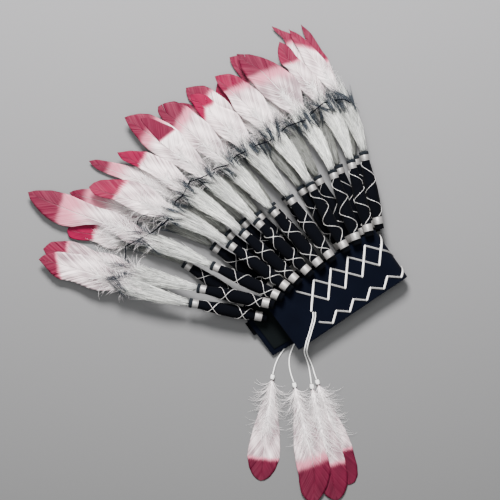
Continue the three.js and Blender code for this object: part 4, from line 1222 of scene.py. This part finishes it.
for number, own in DROPS.items():
    drop = {**look(halves=(1, 1), extend=0, grey=0.3), **own}
    heading = math.radians(drop["heading"])
    way = np.array([-math.sin(heading), -math.cos(heading), 0])
    root = np.array([drop["x"], drop["y"], DROP_CAMBER + 0.5 + drop["layer"] * LAYER_HEIGHT]) + ORIGIN
    reach = drop["reach"] * DROP_LENGTH
    line = Line(root + way * np.linspace(0, reach, 60)[:, None])
    vane = feather_vane(f"drop_vane_{number}", line, 0.03, drop["width"] * DROP_WIDTH, 0, DROP_CAMBER,
                        drop, reach)
    dress(vane, goose_feather, "white_feather", [f"drop_feather_{number}"])
    knot = wound_knot(f"knot_{number}", np.array([drop["x"], drop["y"], KNOT_RADIUS]) + ORIGIN, way)
    quill_of(f"drop_quill_{number}", line, 0.02, 0, drop)
    down_of(f"drop_down_{number}", line, 0.03, 0.5, 0, DROP_DOWN_REACH, DROP_DOWN_COUNT)
    cord, cord_line = cords[number]
    "hanging" if number < 3 else "loose"
print("drops made")

# %% [markdown]
# ## Floor and light
# The headdress lies on a pale surface under soft light from above, and the floor's colour carries
# a painted gradient of light. A wide lamp high behind the picture's top edge gives the soft shadows,
# and a larger, dimmer one above lifts them.

# %% Pale floor and soft panels
form = bmesh.new()
bmesh.ops.create_grid(form, x_segments=1, y_segments=1, size=3)
floor = piece_from(form, "floor")
floor_finish, start, shader = finish_of("pale_floor", 0.9)
place = start.make("ShaderNodeTexCoord", output=3)
across, up = (start.make("ShaderNodeSeparateXYZ", output=axis, in0=place) for axis in (0, 1))
# A painted gradient of light: the floor is lighter towards positive x and y.
slope = across * 0.75 + up * 1.1 + 0.55
feed(shader, "Base Color", slope.colour((0.09, 0.091, 0.09), (0.155, 0.155, 0.157)))
floor.data.materials.append(floor_finish)
floor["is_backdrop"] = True


def panel(name, place, size, power, colour):
    """A round soft lamp that faces the middle of the table."""
    light = bpy.data.lights.new(name, "AREA")
    light.shape, light.size, light.energy, light.color = "DISK", size, power, colour
    lamp = put(name, light)
    lamp.location = place
    lamp.rotation_euler = (-Vector(place)).to_track_quat("-Z", "Y").to_euler()


panel("window", (0.5, 1.0, 1.45), 0.6, 140, (1.0, 0.98, 0.99))
panel("ceiling", (-0.2, 0.1, 2.2), 1.4, 36, (1, 1, 1))
world = bpy.data.worlds.new("room")
world.use_nodes = True
background = world.node_tree.nodes["Background"].inputs
background["Color"].default_value = (0.92, 0.95, 1.0, 1)
background["Strength"].default_value = 0.32
bpy.context.scene.world = world
print("floor and light made")

# %% Print the visual box
visual_box = [list(corner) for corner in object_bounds()]
print("visual box", [[round(value, 4) for value in corner] for corner in visual_box])
